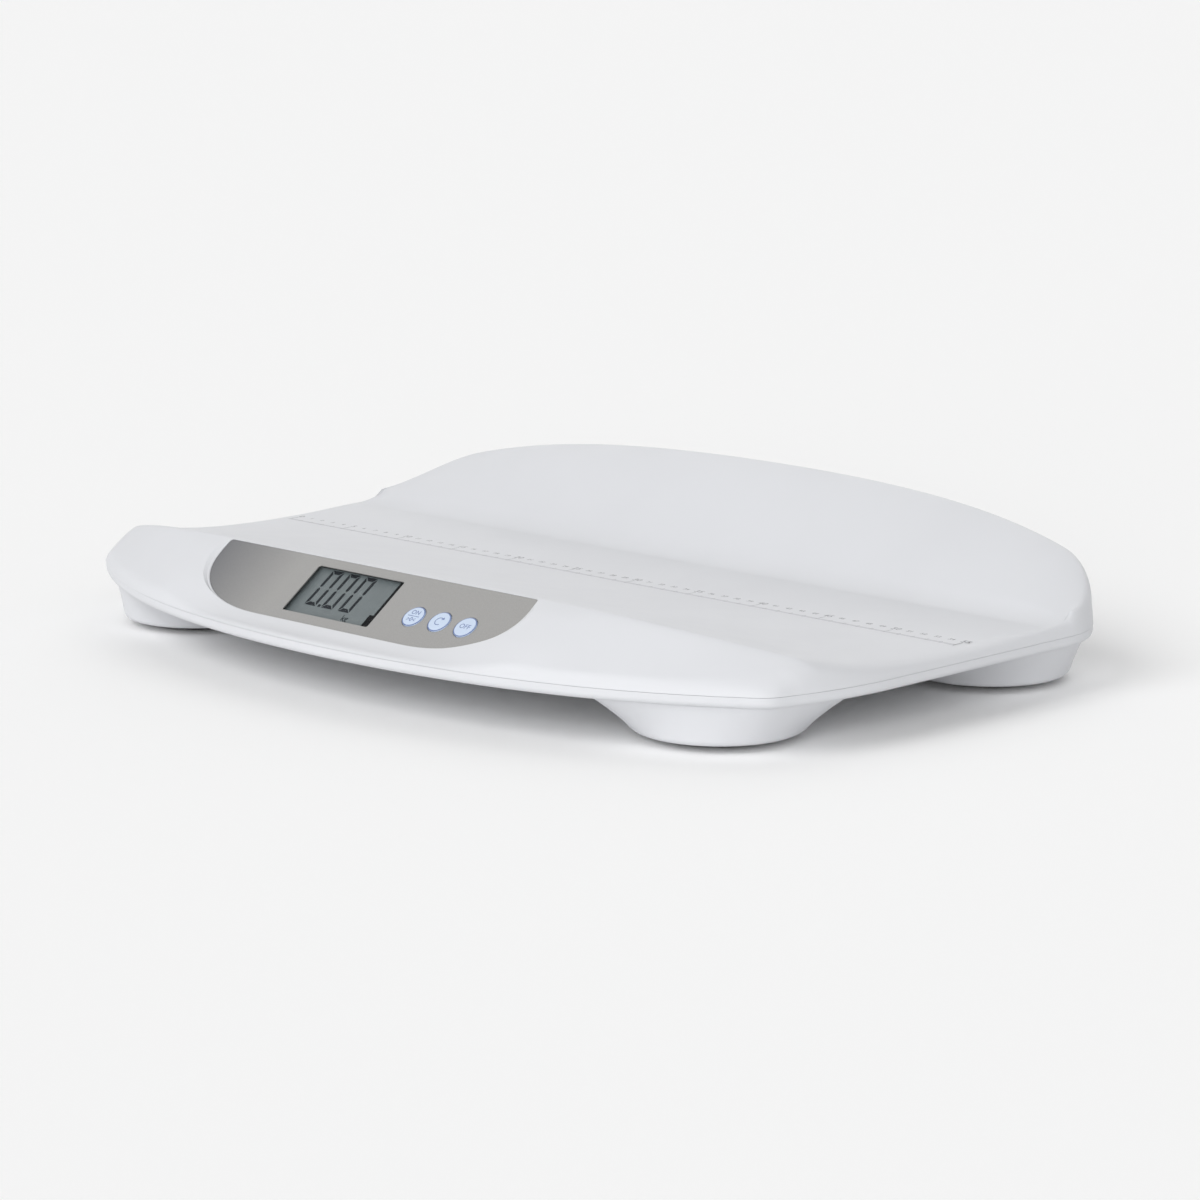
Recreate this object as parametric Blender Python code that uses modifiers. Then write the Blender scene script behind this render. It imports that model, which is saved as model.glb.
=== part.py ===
"""A digital baby weighing scale, built as separate pieces at their real size, in metres.

The scale lies along X, its display faces -Y and its back wall stands at +Y. The origin is on the
ground, under the middle of the scale.
"""
import math

import bmesh
import bpy
from mathutils import Matrix, Vector

# Overall sizes
LENGTH = 0.580
DEPTH = 0.390
HEIGHT = 0.090

# Walls and clearances
WALL = 0.0028
FIT_GAP = 0.0003
CUT_OVERRUN = 0.002
MERGE_GAP = 0.00001

# Levels above the ground
POD_BOTTOM = 0.004
UNDERSIDE = 0.027
SEAM = 0.0336
TRAY_FLOOR = 0.040

# Plan outline: how far the long edges draw in towards the ends, and the corner rounds
FRONT_BOW = 0.0593
FRONT_LATE_BOW = 0.0311
FRONT_CORNER_RADIUS = 0.018
END_BOW = 0.008
END_BOW_LENGTH = 0.060
END_BOW_Y = -0.035
END_BOW_FIRST_SHARE = 0.93
BACK_BOW = 0.020
BACK_LATE_BOW = 0.008
BACK_CORNER_RADIUS = 0.062
EDGE_INSET = 0.004
CREST_INSET = 0.007
EDGE_ROUND = 0.006
FLANK_LEAN = 0.0025
FLANK_LEAN_SHARE = 0.35
END_ROUND = 0.014
END_ROUND_FIRST_SHARE = 0.75
END_ROUND_FRONT_SHARE = 0.6
WIDE_ROUND_SHARE = 0.8
MOST_ROUND_SHARE = 0.7
LEAST_KNEE_SHARE = 0.35
MOST_FLANK_RISE = 1.5
LOWER_EDGE_INSET = 0.0005
LOWER_EDGE_ROUND = 0.0035

# Front apron, its ridge and its lip
APRON_TILT = math.radians(36.3)
RIDGE_HEIGHT = 0.0694
RIDGE_SETBACK = 0.0573
RIDGE_END_SETBACK = 0.0552
RIDGE_END_DROP = 0.0217
RIDGE_BLEND = 0.002
FLAT_HALF_LENGTH = 0.132
FLAT_BLEND_LENGTH = 0.035
APRON_FOOT = 0.0045
LIP_HEIGHT = 0.0016
LIP_RISE_SHARE = 0.1
LIP_BLEND = 0.002

# Tray floor, cove and back wall, measured forward from the middle line to the back
CREASE_Y = 0.030
COVE_Y = 0.100
WALL_FOOT_Y = 0.120
WALL_FOOT_RISE = 0.0085
WALL_CURVE = 1.35
CREST_BOW = 0.0138
CREST_LATE_BOW = 0.0207
END_FADE_LENGTH = 0.048
END_FADE_OVERRUN = 0.003
END_FADE_CURVE = 2.2
END_FADE_FALL = 0.8

# Display panel, measured down the apron from the ridge
PANEL_TOP_DROP = 0.0015
PANEL_HEIGHT = 0.0483
PANEL_HALF_FLAT = 0.060
PANEL_HALF_LENGTH = 0.1275
PANEL_SHOULDER = 0.0085
PANEL_CURVE = 2.2
PANEL_THICKNESS = 0.0008
PANEL_RECESS = 0.0018
PANEL_SINK = 0.0007

# Display window and the parts behind it
WINDOW_X = -0.0093
WINDOW_LENGTH = 0.0713
WINDOW_HEIGHT = 0.0358
WINDOW_DROP = 0.0074
LENS_OVERLAP = 0.0040
LENS_THICKNESS = 0.0008
GASKET_WIDTH = 0.0010
GASKET_THICKNESS = 0.0006
GLASS_THICKNESS = 0.0028
STRIP_WIDTH = 0.0025
STRIP_HEIGHT = 0.0025
BOARD_LEFT = -0.059
BOARD_RIGHT = 0.107
BOARD_TOP_DROP = 0.005
BOARD_HEIGHT = 0.039
BOARD_THICKNESS = 0.0016
BOARD_POST_RADIUS = 0.0026
BOARD_POST_MARGIN = 0.0045
BOARD_SCREW_RADIUS = 0.0010
BOARD_SCREW_HEAD_RADIUS = 0.0021
BOARD_SCREW_HEAD_HEIGHT = 0.0014
BOARD_SCREW_LENGTH = 0.006
CHIP_SIDE = 0.012
CHIP_THICKNESS = 0.0016

# Buttons and their switches
BUTTON_FIRST_X = 0.053
BUTTON_PITCH = 0.0205
BUTTON_DROP = 0.0296
BUTTON_RADIUS = 0.0073
BUTTON_PROUD = 0.0006
BUTTON_DOME = 0.0003
BUTTON_FLANGE = 0.0014
BUTTON_FLANGE_THICKNESS = 0.001
BUTTON_STEM_RADIUS = 0.002
BUTTON_STEM_LENGTH = 0.001
BUTTON_TRAVEL = 0.0007
SWITCH_SIDE = 0.006
SWITCH_PLUNGER_RADIUS = 0.0016
SWITCH_PLUNGER_HEIGHT = 0.0009

# Battery bay, cells, contacts and door
BAY_SETBACK = 0.090
CELL_RADIUS = 0.0071
CELL_LENGTH = 0.0504
CELL_NUB_RADIUS = 0.0027
CELL_NUB_HEIGHT = 0.0012
CELL_EDGE = 0.0008
CELL_PITCH = 0.0152
CELL_COUNT = 4
SPRING_LENGTH = 0.0061
SPRING_WIRE_RADIUS = 0.00035
SPRING_FOOT_RADIUS = 0.0045
SPRING_TIP_RADIUS = 0.0026
SPRING_TURNS = 3
CONTACT_THICKNESS = 0.0005
CONTACT_WIDTH = 0.011
CONTACT_HEIGHT = 0.012
BAY_WALL = 0.002
DOOR_THICKNESS = 0.0026
DOOR_GAP = 0.0005
DOOR_LEDGE = 0.002
DOOR_MARGIN_X = 0.005
HINGE_PIN_RADIUS = 0.00085
HINGE_PIN_LENGTH = 0.0012
HINGE_PIN_GAP = 0.00025
LATCH_WIDTH = 0.014
LATCH_LENGTH = 0.009
LATCH_SLOT = 0.0012
GRIP_DEPTH = 0.0012
GRIP_RADIUS = 0.005

# Corner pods with their load cells and feet
POD_FRONT_SETBACK = 0.105
POD_FRONT_END_SETBACK = 0.075
POD_BACK_SETBACK = 0.073
POD_BACK_END_SETBACK = 0.0635
POD_FLOOR_THICKNESS = 0.0025
POD_RADIUS = 0.0505
POD_EDGE = 0.004
POD_FLARE = 0.026
POD_FLARE_CURVE = 1.6
POD_FLARE_INSET = 0.0045
POD_BLEND = 0.004
FOOT_RADIUS = 0.031
FOOT_HEIGHT = 0.0036
FOOT_EDGE = 0.001
CUP_RADIUS = 0.0318
CUP_FLANGE = 0.0037
CUP_FLANGE_THICKNESS = 0.0015
CUP_FLANGE_GAP = 0.0003
CUP_POST_RADIUS = 0.006
CUP_POST_HEIGHT = 0.0015
CUP_HOLE_GAP = 0.0007
POD_WELL_GAP = 0.0015
CELL_PLATE_SIDE = 0.034
CELL_PLATE_THICKNESS = 0.0025
CELL_SLOT = 0.0025
CELL_FRAME = 0.005
CELL_TONGUE_HALF = 0.0065
RETAINER_RADIUS = 0.0465
RETAINER_THICKNESS = 0.0026
RETAINER_HOLE = 0.015
RETAINER_GAP = 0.0004

# Casing screws and their bosses
SCREW_END_SETBACK = 0.150
SCREW_FRONT_SETBACK = 0.077
SCREW_MIDDLE_SETBACK = 0.140
SCREW_BACK_SETBACK = 0.035
SCREW_RADIUS = 0.0015
SCREW_LENGTH = 0.012
SCREW_HEAD_RADIUS = 0.003
SCREW_HEAD_HEIGHT = 0.0021
SCREW_SINK = 0.003
BOSS_RADIUS = 0.0042
BOSS_FOOT_RADIUS = 0.0056

# Counts of facets
MIDDLE_COLUMNS = 8
CORNER_COLUMNS = 5
ROW_COUNTS = (3, 1, 1, 4, 2, 2, 5)
RIDGE_HALF_BAND = 0.003
EDGE_STEPS = 3
END_STEPS = 6
POD_FACETS = 24
FLARE_STEPS = 4
ROUND_FACETS = 16
SMALL_FACETS = 10
PANEL_STEPS = 8
SPRING_STEPS = 8

HALF_LENGTH = LENGTH / 2
HALF_DEPTH = DEPTH / 2
RIDGE_Y = RIDGE_SETBACK - HALF_DEPTH
PROBE = WALL / 4

# A small rounded foot's rings from the bottom up, as shares of its size inwards and upwards
FOOT_ROUND_SHARES = ((1.0, 0.0), (0.3, 0.3))

# Colours as red, green and blue, with roughness and metallic value
WHITE = ((0.82, 0.83, 0.86), 0.32, 0.0)
SILVER = ((0.62, 0.61, 0.59), 0.38, 0.7)
CLEAR = ((0.75, 0.80, 0.78), 0.08, 0.0)
GASKET_BLACK = ((0.03, 0.03, 0.035), 0.6, 0.0)
GLASS_GREEN = ((0.30, 0.36, 0.34), 0.18, 0.0)
BUTTON_BLUE = ((0.60, 0.70, 0.88), 0.35, 0.0)
RUBBER_BLACK = ((0.025, 0.025, 0.028), 0.75, 0.0)
BOARD_GREEN = ((0.03, 0.20, 0.09), 0.5, 0.0)
STEEL = ((0.70, 0.70, 0.72), 0.3, 1.0)
ALLOY = ((0.60, 0.62, 0.64), 0.35, 1.0)
CUP_GREY = ((0.55, 0.56, 0.58), 0.5, 0.0)
CELL_BROWN = ((0.16, 0.12, 0.10), 0.4, 0.2)


# Scene helpers

def clear_scene():
    for thing in list(bpy.data.objects):
        bpy.data.objects.remove(thing, do_unlink=True)


def new_collection(name):
    collection = bpy.data.collections.new(name)
    bpy.context.scene.collection.children.link(collection)
    return collection


def new_material(name, look):
    colour, roughness, metallic = look
    material = bpy.data.materials.new(name)
    material.use_nodes = True
    shader = material.node_tree.nodes["Principled BSDF"]
    shader.inputs["Base Color"].default_value = (*colour, 1.0)
    shader.inputs["Roughness"].default_value = roughness
    shader.inputs["Metallic"].default_value = metallic
    return material


def add_object(name, data, collection, look=None, parent=None, place=(0, 0, 0)):
    """Put a mesh or curve in the scene. With no look it is a cutter or a joining shape."""
    thing = bpy.data.objects.new(name, data)
    collection.objects.link(thing)
    thing.parent = parent
    thing.location = place
    if look is None:
        thing.hide_render = True
        thing.display_type = "WIRE"
    else:
        thing.data.materials.clear()
        thing.data.materials.append(new_material(name, look))
    return thing


def add_tool(mesh, tools, parent=None, place=(0, 0, 0)):
    return add_object(mesh.name, mesh, tools, None, parent, place)


def finish_mesh(bm, name):
    bmesh.ops.recalc_face_normals(bm, faces=bm.faces)
    mesh = bpy.data.meshes.new(name)
    bm.to_mesh(mesh)
    bm.free()
    return mesh


def combine(target, tool, operation):
    step = target.modifiers.new(operation.lower(), "BOOLEAN")
    step.operation = operation
    step.solver = "EXACT"
    step.object = tool


# Shapes

def add_box(bm, size, centre):
    matrix = Matrix.Translation(centre) @ Matrix.Diagonal((*size, 1.0))
    bmesh.ops.create_cube(bm, size=1.0, matrix=matrix)


def add_rod(bm, radius, low, high, facets, centre=(0, 0)):
    middle = Vector((centre[0], centre[1], (low + high) / 2))
    bmesh.ops.create_cone(bm, cap_ends=True, segments=facets, radius1=radius, radius2=radius,
                          depth=high - low, matrix=Matrix.Translation(middle))


def add_cross_rod(bm, radius, length, facets, centre):
    """A rod along X."""
    turn = Matrix.Rotation(math.pi / 2, 4, "Y")
    bmesh.ops.create_cone(bm, cap_ends=True, segments=facets, radius1=radius, radius2=radius,
                          depth=length, matrix=Matrix.Translation(centre) @ turn)


def box_mesh(name, size, centre):
    bm = bmesh.new()
    add_box(bm, size, centre)
    return finish_mesh(bm, name)


def rods_mesh(name, places, radius, low, high, facets):
    """Upright rods of one size, one at each place."""
    bm = bmesh.new()
    for place in places:
        add_rod(bm, radius, low, high, facets, place)
    return finish_mesh(bm, name)


def loft_mesh(name, rings):
    """A closed solid through rings of points, with flat ends."""
    bm = bmesh.new()
    loops = [[bm.verts.new(point) for point in ring] for ring in rings]
    count = len(rings[0])
    for lower, upper in zip(loops, loops[1:]):
        for i in range(count):
            j = (i + 1) % count
            bm.faces.new((lower[i], lower[j], upper[j], upper[i]))
    bm.faces.new(loops[0])
    bm.faces.new(loops[-1])
    return finish_mesh(bm, name)


def turned(name, profile, facets, collection, look=None, parent=None, place=(0, 0, 0)):
    """A profile of (radius, height) from the top down its outer side, turned about Z."""
    mesh = bpy.data.meshes.new(name)
    points = [(radius, 0, height) for radius, height in profile]
    mesh.from_pydata(points, [(i, i + 1) for i in range(len(points) - 1)], [])
    thing = add_object(name, mesh, collection, look, parent, place)
    screw = thing.modifiers.new("turn", "SCREW")
    screw.steps = facets
    screw.render_steps = facets
    screw.use_merge_vertices = True
    screw.merge_threshold = MERGE_GAP
    return thing


def flat_mesh(name, outline, low, high):
    """A flat plate: its outline filled as a 2D curve and given a thickness."""
    curve = bpy.data.curves.new(name, "CURVE")
    curve.dimensions = "2D"
    curve.fill_mode = "BOTH"
    curve.extrude = (high - low) / 2
    spline = curve.splines.new("POLY")
    spline.points.add(len(outline) - 1)
    for point, (x, y) in zip(spline.points, outline):
        point.co = (x, y, 0, 1)
    spline.use_cyclic_u = True
    guide = bpy.data.objects.new(name, curve)
    bpy.context.scene.collection.objects.link(guide)
    bpy.context.view_layer.update()
    mesh = bpy.data.meshes.new_from_object(guide.evaluated_get(bpy.context.evaluated_depsgraph_get()))
    bpy.data.objects.remove(guide)
    bm = bmesh.new()
    bm.from_mesh(mesh)
    bmesh.ops.remove_doubles(bm, verts=bm.verts, dist=MERGE_GAP)
    bmesh.ops.translate(bm, verts=bm.verts, vec=(0, 0, (low + high) / 2))
    return finish_mesh(bm, name)


def smooth_step(share):
    share = min(max(share, 0.0), 1.0)
    return share * share * (3 - 2 * share)


def soft_maximum(a, b, blend):
    return (a + b + math.hypot(a - b, blend)) / 2


# Plan outline

def bow_depth(x, bow, late_bow):
    reach = x / HALF_LENGTH
    return bow * reach ** 2 + late_bow * reach ** 4


def bow_slope(x, bow, late_bow):
    reach = x / HALF_LENGTH
    return (2 * bow * reach + 4 * late_bow * reach ** 3) / HALF_LENGTH


def drawn_in(x, bow, late_bow, radius, inset):
    """How far an edge lies in from its middle line at x, round the corner too."""
    x = abs(x)
    half = HALF_LENGTH - inset
    radius = radius - inset
    start = half - radius
    for _ in range(4):
        angle = math.atan(bow_slope(start, bow, late_bow))
        start = half - radius * (1 - math.sin(angle))
    at = min(x, start)
    depth = bow_depth(at, bow, late_bow) + inset * math.hypot(1, bow_slope(at, bow, late_bow))
    if x <= start:
        return depth
    centre = depth + radius * math.cos(angle)
    return centre - math.sqrt(max(radius ** 2 - (x - half + radius) ** 2, 0.0))


def front_edge(x, inset):
    return drawn_in(x, FRONT_BOW, FRONT_LATE_BOW, FRONT_CORNER_RADIUS, inset) - HALF_DEPTH


def back_edge(x, inset, end_inset):
    extra = inset - end_inset
    return HALF_DEPTH - extra - drawn_in(x, BACK_BOW, BACK_LATE_BOW, BACK_CORNER_RADIUS, end_inset)


def column_shares():
    """Places along the length as shares of its half, closer together round the corners."""
    corner = 1 - BACK_CORNER_RADIUS / HALF_LENGTH
    middle = [corner * i / MIDDLE_COLUMNS for i in range(MIDDLE_COLUMNS + 1)]
    turn = [math.sin(math.pi / 2 * i / CORNER_COLUMNS) for i in range(1, CORNER_COLUMNS + 1)]
    half = middle + [corner + (1 - corner) * share for share in turn]
    return [-share for share in reversed(half[1:])] + half


def bowed(share, x, y):
    """A point of the outline, moved in where the ends draw in towards the front."""
    near = max(abs(share) - END_BOW_FIRST_SHARE, 0.0) / (1 - END_BOW_FIRST_SHARE)
    ahead = max(END_BOW_Y - y, 0.0) / END_BOW_LENGTH
    return x - math.copysign(END_BOW * (near * ahead) ** 2, x), y


def edge_places(inset):
    """The front and back edges' points, from left to right."""
    half = HALF_LENGTH - inset
    places = [(share, share * half) for share in column_shares()]
    front = [bowed(share, x, front_edge(x, inset)) for share, x in places]
    return front, [(x, back_edge(x, inset, inset)) for _, x in places]


def plan_loop(inset):
    """The plan outline drawn in by an inset, round from the front's left end."""
    front, back = edge_places(inset)
    low, high = front[-1][1], back[-1][1]
    ends = [low + (high - low) * (i / END_STEPS) ** 2 for i in range(1, END_STEPS)]
    right = [bowed(1, HALF_LENGTH - inset, y) for y in ends]
    return front + right + back[::-1] + [(-x, y) for x, y in reversed(right)]


def reach_to(loop, x, y, angle):
    """How far an outline lies from a point inside it, in one direction."""
    across, ahead = math.cos(angle), math.sin(angle)
    for (ax, ay), (bx, by) in zip(loop, loop[1:] + loop[:1]):
        before = across * (ay - y) - ahead * (ax - x)
        after = across * (by - y) - ahead * (bx - x)
        if before <= 0 < after:
            share = before / (before - after)
            return across * (ax + (bx - ax) * share - x) + ahead * (ay + (by - ay) * share - y)


def plan_solid(name, levels):
    """A solid whose plan outline is drawn in by an inset at each height."""
    return loft_mesh(name, [[(x, y, z) for x, y in plan_loop(inset)] for inset, z in levels])


# Upper surface

def ridge_at(x):
    """Where the ridge runs over the length, and how high."""
    past = max(abs(x) - FLAT_HALF_LENGTH, 0.0) / (HALF_LENGTH - FLAT_HALF_LENGTH)
    return RIDGE_Y + RIDGE_END_SETBACK * past ** 2, RIDGE_HEIGHT - RIDGE_END_DROP * past ** 2


def apron_height(x, y):
    ridge_y, ridge_z = ridge_at(x)
    edge_y = front_edge(x, 0)
    late = (ridge_z - SEAM - APRON_FOOT) / (ridge_y - edge_y)
    blend = smooth_step((abs(x) - FLAT_HALF_LENGTH) / FLAT_BLEND_LENGTH)
    steep = math.tan(APRON_TILT) * (1 - blend) + late * blend
    plane = ridge_z - steep * (ridge_y - y)
    lip = SEAM + LIP_HEIGHT + LIP_RISE_SHARE * (y - edge_y)
    return soft_maximum(plane, lip, LIP_BLEND)


def slope_height(x, y):
    """The hollow slope from the ridge back to the tray's floor."""
    ridge_y, ridge_z = ridge_at(x)
    climb = (CREASE_Y - y) / (CREASE_Y - ridge_y)
    hollow = 1 - (x / HALF_LENGTH) ** 4 * (1 - climb)
    return TRAY_FLOOR + (ridge_z - TRAY_FLOOR) * (climb + climb ** 2) / 2 * hollow


def end_fade(x):
    """Brings the back wall down to the tray's floor at the ends."""
    start = HALF_LENGTH - END_FADE_LENGTH
    past = max(abs(x) - start, 0.0) / (END_FADE_LENGTH + END_FADE_OVERRUN)
    return max(1 - past ** END_FADE_CURVE, 0.0) ** END_FADE_FALL


def wall_height(x, y):
    fade = end_fade(x)
    foot = TRAY_FLOOR + WALL_FOOT_RISE * fade
    if y < WALL_FOOT_Y:
        climb = max(y - COVE_Y, 0.0) / (WALL_FOOT_Y - COVE_Y)
        return TRAY_FLOOR + (foot - TRAY_FLOOR) * climb ** 2
    crest_y = back_edge(x, CREST_INSET, EDGE_INSET)
    crest = HEIGHT - bow_depth(x, CREST_BOW, CREST_LATE_BOW)
    crest = TRAY_FLOOR + (crest - TRAY_FLOOR) * fade
    climb = min((y - WALL_FOOT_Y) / (crest_y - WALL_FOOT_Y), 1.0)
    return foot + (crest - foot) * (1 - (1 - climb) ** WALL_CURVE)


def surface_height(x, y):
    if y < CREASE_Y:
        return -soft_maximum(-apron_height(x, y), -slope_height(x, y), RIDGE_BLEND)
    return wall_height(x, y)


def lowered_height(x, y, thickness):
    """The surface, moved down so that a wall of the thickness is left over it."""
    if not thickness:
        return surface_height(x, y)
    along = (surface_height(x + PROBE, y) - surface_height(x - PROBE, y)) / (2 * PROBE)
    across = (surface_height(x, y + PROBE) - surface_height(x, y - PROBE)) / (2 * PROBE)
    return surface_height(x, y) - thickness * math.sqrt(1 + along ** 2 + across ** 2)


def row_places(x, front, back):
    """The rows of a column, from its front edge over the ridge and tray to its crest."""
    ridge_y = max(ridge_at(x)[0], front + RIDGE_HALF_BAND + PROBE)
    cove_depth = WALL_FOOT_Y - COVE_Y
    foot = min(WALL_FOOT_Y, back - cove_depth / 4)
    cove = min(COVE_Y, foot - cove_depth)
    stops = [front, ridge_y - RIDGE_HALF_BAND, ridge_y, ridge_y + RIDGE_HALF_BAND, CREASE_Y, cove, foot, back]
    rows = [front]
    for low, high, count in zip(stops, stops[1:], ROW_COUNTS):
        rows += [low + (high - low) * i / count for i in range(1, count + 1)]
    return rows


def column_points(share, inset, thickness, base):
    """A column of the surface's points. It swings in from the end where the flank is rounder."""
    outer_x = share * (HALF_LENGTH - EDGE_INSET - inset)
    near = max(abs(share) - END_ROUND_FIRST_SHARE, 0.0) / (1 - END_ROUND_FIRST_SHARE)
    swing = math.copysign(END_ROUND * near ** 2, share)
    front = front_edge(outer_x - swing, EDGE_INSET + inset + abs(swing) * END_ROUND_FRONT_SHARE)
    back = back_edge(outer_x, CREST_INSET + inset, EDGE_INSET + inset)
    points = []
    for y in row_places(outer_x - swing, front, back):
        x = outer_x - swing * (1 - smooth_step((y - CREASE_Y) / (COVE_Y - CREASE_Y)))
        points.append(Vector((x, y, max(lowered_height(x, y, thickness), base + PROBE))))
    return points


def border_pairs(grid, inset):
    """The surface's border points round from the front's left end, each with its outline point."""
    fronts, backs = edge_places(inset)
    low, high = fronts[0][1], backs[0][1]

    def end_pairs(column, x):
        first, last = column[0].y, column[-1].y
        stretch = (high - low) / (last - first)
        return [(point, bowed(1, x, low + (point.y - first) * stretch)) for point in column[1:-1]]

    pairs = [(column[0], outer) for column, outer in zip(grid, fronts)]
    pairs += end_pairs(grid[-1], HALF_LENGTH - inset)
    pairs += [(column[-1], outer) for column, outer in reversed(list(zip(grid, backs)))]
    return pairs + end_pairs(grid[0], inset - HALF_LENGTH)[::-1]


def edge_ring_points(inner, outer, base, thickness):
    """From the base up the flank and round the edge, to just outside an inner border point."""
    step = Vector((inner.x - outer[0], inner.y - outer[1]))
    width = step.length
    inwards = step.normalized()
    probe = inwards * PROBE
    rise = lowered_height(inner.x + probe.x, inner.y + probe.y, thickness) - inner.z
    rise = min(max(rise / PROBE, 0.0), MOST_FLANK_RISE)
    lean = min(FLANK_LEAN, FLANK_LEAN_SHARE * width)
    knee = max(inner.z - rise * (width - lean), base + (inner.z - base) * LEAST_KNEE_SHARE)
    foot = Vector((outer[0], outer[1], base))
    corner = Vector((outer[0] + lean * inwards.x, outer[1] + lean * inwards.y, knee))
    round_share = min(max(EDGE_ROUND, width * WIDE_ROUND_SHARE) / (knee - base), MOST_ROUND_SHARE)
    start = corner + (foot - corner) * round_share
    points = [foot, start]
    for i in range(1, EDGE_STEPS):
        t = i / EDGE_STEPS
        points.append(start * (1 - t) ** 2 + corner * 2 * t * (1 - t) + inner * t ** 2)
    return points


def shell_solid(name, inset, thickness, base):
    """The body under the upper surface, drawn in by an inset and lowered by a thickness."""
    grid = [column_points(share, inset, thickness, base) for share in column_shares()]
    bm = bmesh.new()
    verts = [[bm.verts.new(point) for point in column] for column in grid]
    for left, right in zip(verts, verts[1:]):
        for i in range(len(left) - 1):
            bm.faces.new((left[i], right[i], right[i + 1], left[i + 1]))
    inner = [column[0] for column in verts] + verts[-1][1:-1]
    inner += [column[-1] for column in reversed(verts)] + verts[0][-2:0:-1]
    flank = []
    for vert, (point, outer) in zip(inner, border_pairs(grid, inset)):
        ring = edge_ring_points(point, outer, base, thickness)
        flank.append([bm.verts.new(place) for place in ring] + [vert])
    for here, there in zip(flank, flank[1:] + flank[:1]):
        for k in range(len(here) - 1):
            bm.faces.new((here[k], there[k], there[k + 1], here[k + 1]))
    bm.faces.new([points[0] for points in flank])
    return finish_mesh(bm, name)


# Places that several pieces share

def screw_places():
    side = HALF_LENGTH - SCREW_END_SETBACK
    front = SCREW_FRONT_SETBACK - HALF_DEPTH
    middle = SCREW_MIDDLE_SETBACK - HALF_DEPTH
    back = HALF_DEPTH - SCREW_BACK_SETBACK
    return [(-side, front), (side, front), (0, middle), (-side, back), (side, back), (0, back)]


def pod_places():
    front_x, front_y = HALF_LENGTH - POD_FRONT_END_SETBACK, POD_FRONT_SETBACK - HALF_DEPTH
    back_x, back_y = HALF_LENGTH - POD_BACK_END_SETBACK, HALF_DEPTH - POD_BACK_SETBACK
    return {"front_left": (-front_x, front_y), "front_right": (front_x, front_y),
            "back_left": (-back_x, back_y), "back_right": (back_x, back_y)}


def button_places():
    names = ("tare", "recall", "off")
    return {name: (BUTTON_FIRST_X + BUTTON_PITCH * i, -BUTTON_DROP) for i, name in enumerate(names)}


def board_post_places():
    left, right = BOARD_LEFT + BOARD_POST_MARGIN, BOARD_RIGHT - BOARD_POST_MARGIN
    top = -BOARD_TOP_DROP - BOARD_POST_MARGIN
    bottom = -BOARD_TOP_DROP - BOARD_HEIGHT + BOARD_POST_MARGIN
    return [(left, top), (right, top), (left, bottom), (right, bottom)]


def window_box(overlap, low, high):
    """Size and centre, in the panel's frame, of a slab that overlaps the window all round."""
    size = (WINDOW_LENGTH + 2 * overlap, WINDOW_HEIGHT + 2 * overlap, high - low)
    centre = (WINDOW_X, -WINDOW_DROP - WINDOW_HEIGHT / 2, (low + high) / 2)
    return size, centre


# Depths below the apron, in the panel's frame
PANEL_BOTTOM = -PANEL_SINK - PANEL_THICKNESS
LENS_TOP = PANEL_BOTTOM - FIT_GAP
LENS_BOTTOM = LENS_TOP - LENS_THICKNESS
GASKET_TOP = LENS_BOTTOM - FIT_GAP
GASKET_BOTTOM = GASKET_TOP - GASKET_THICKNESS
GLASS_TOP = GASKET_BOTTOM - FIT_GAP
GLASS_BOTTOM = GLASS_TOP - GLASS_THICKNESS
STRIP_TOP = GLASS_BOTTOM - FIT_GAP
STRIP_BOTTOM = STRIP_TOP - STRIP_HEIGHT
BOARD_FACE = STRIP_BOTTOM - FIT_GAP
BOARD_BACK = BOARD_FACE - BOARD_THICKNESS
FLANGE_TOP = -WALL - FIT_GAP
STEM_END = FLANGE_TOP - BUTTON_FLANGE_THICKNESS - BUTTON_STEM_LENGTH
SWITCH_TOP = STEM_END - BUTTON_TRAVEL - FIT_GAP

# Levels and lengths of the battery bay
BAY_Y = BAY_SETBACK - HALF_DEPTH
DOOR_TOP = UNDERSIDE + DOOR_THICKNESS
CELL_AXIS = DOOR_TOP + 2 * FIT_GAP + CELL_RADIUS
BAY_TOP = CELL_AXIS + CELL_RADIUS + FIT_GAP
CONTACT_STANDOFF = FIT_GAP + CONTACT_THICKNESS + FIT_GAP
BAY_HALF_LENGTH = (CELL_LENGTH + SPRING_LENGTH + FIT_GAP) / 2 + CONTACT_STANDOFF
BAY_HALF_WIDTH = CELL_PITCH * CELL_COUNT / 2 + FIT_GAP
DOOR_HALF_LENGTH = BAY_HALF_LENGTH + DOOR_MARGIN_X
DOOR_HALF_WIDTH = BAY_HALF_WIDTH + DOOR_LEDGE
HINGE_Y = BAY_Y - DOOR_HALF_WIDTH + DOOR_THICKNESS / 2
HINGE_Z = UNDERSIDE + DOOR_THICKNESS / 2

# Levels in a pod
POD_FLOOR = POD_BOTTOM + POD_FLOOR_THICKNESS
CUP_BOTTOM = FOOT_HEIGHT + FIT_GAP
FLANGE_LEVEL = POD_FLOOR + CUP_FLANGE_GAP
CUP_TOP = FLANGE_LEVEL + CUP_FLANGE_THICKNESS
CUP_POST_TOP = CUP_TOP + CUP_POST_HEIGHT
CELL_PLATE_LOW = CUP_POST_TOP + FIT_GAP
CELL_PLATE_HIGH = CELL_PLATE_LOW + CELL_PLATE_THICKNESS
LEDGE_LEVEL = CELL_PLATE_HIGH
POD_SHELF = RETAINER_RADIUS + RETAINER_GAP
RETAINER_LOW = LEDGE_LEVEL + FIT_GAP

# Levels of the casing screws
CASING_FLOOR = UNDERSIDE + WALL
SHOULDER = UNDERSIDE + SCREW_SINK
HEAD_TOP = SHOULDER - FIT_GAP
SCREW_TIP = HEAD_TOP + SCREW_LENGTH


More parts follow.
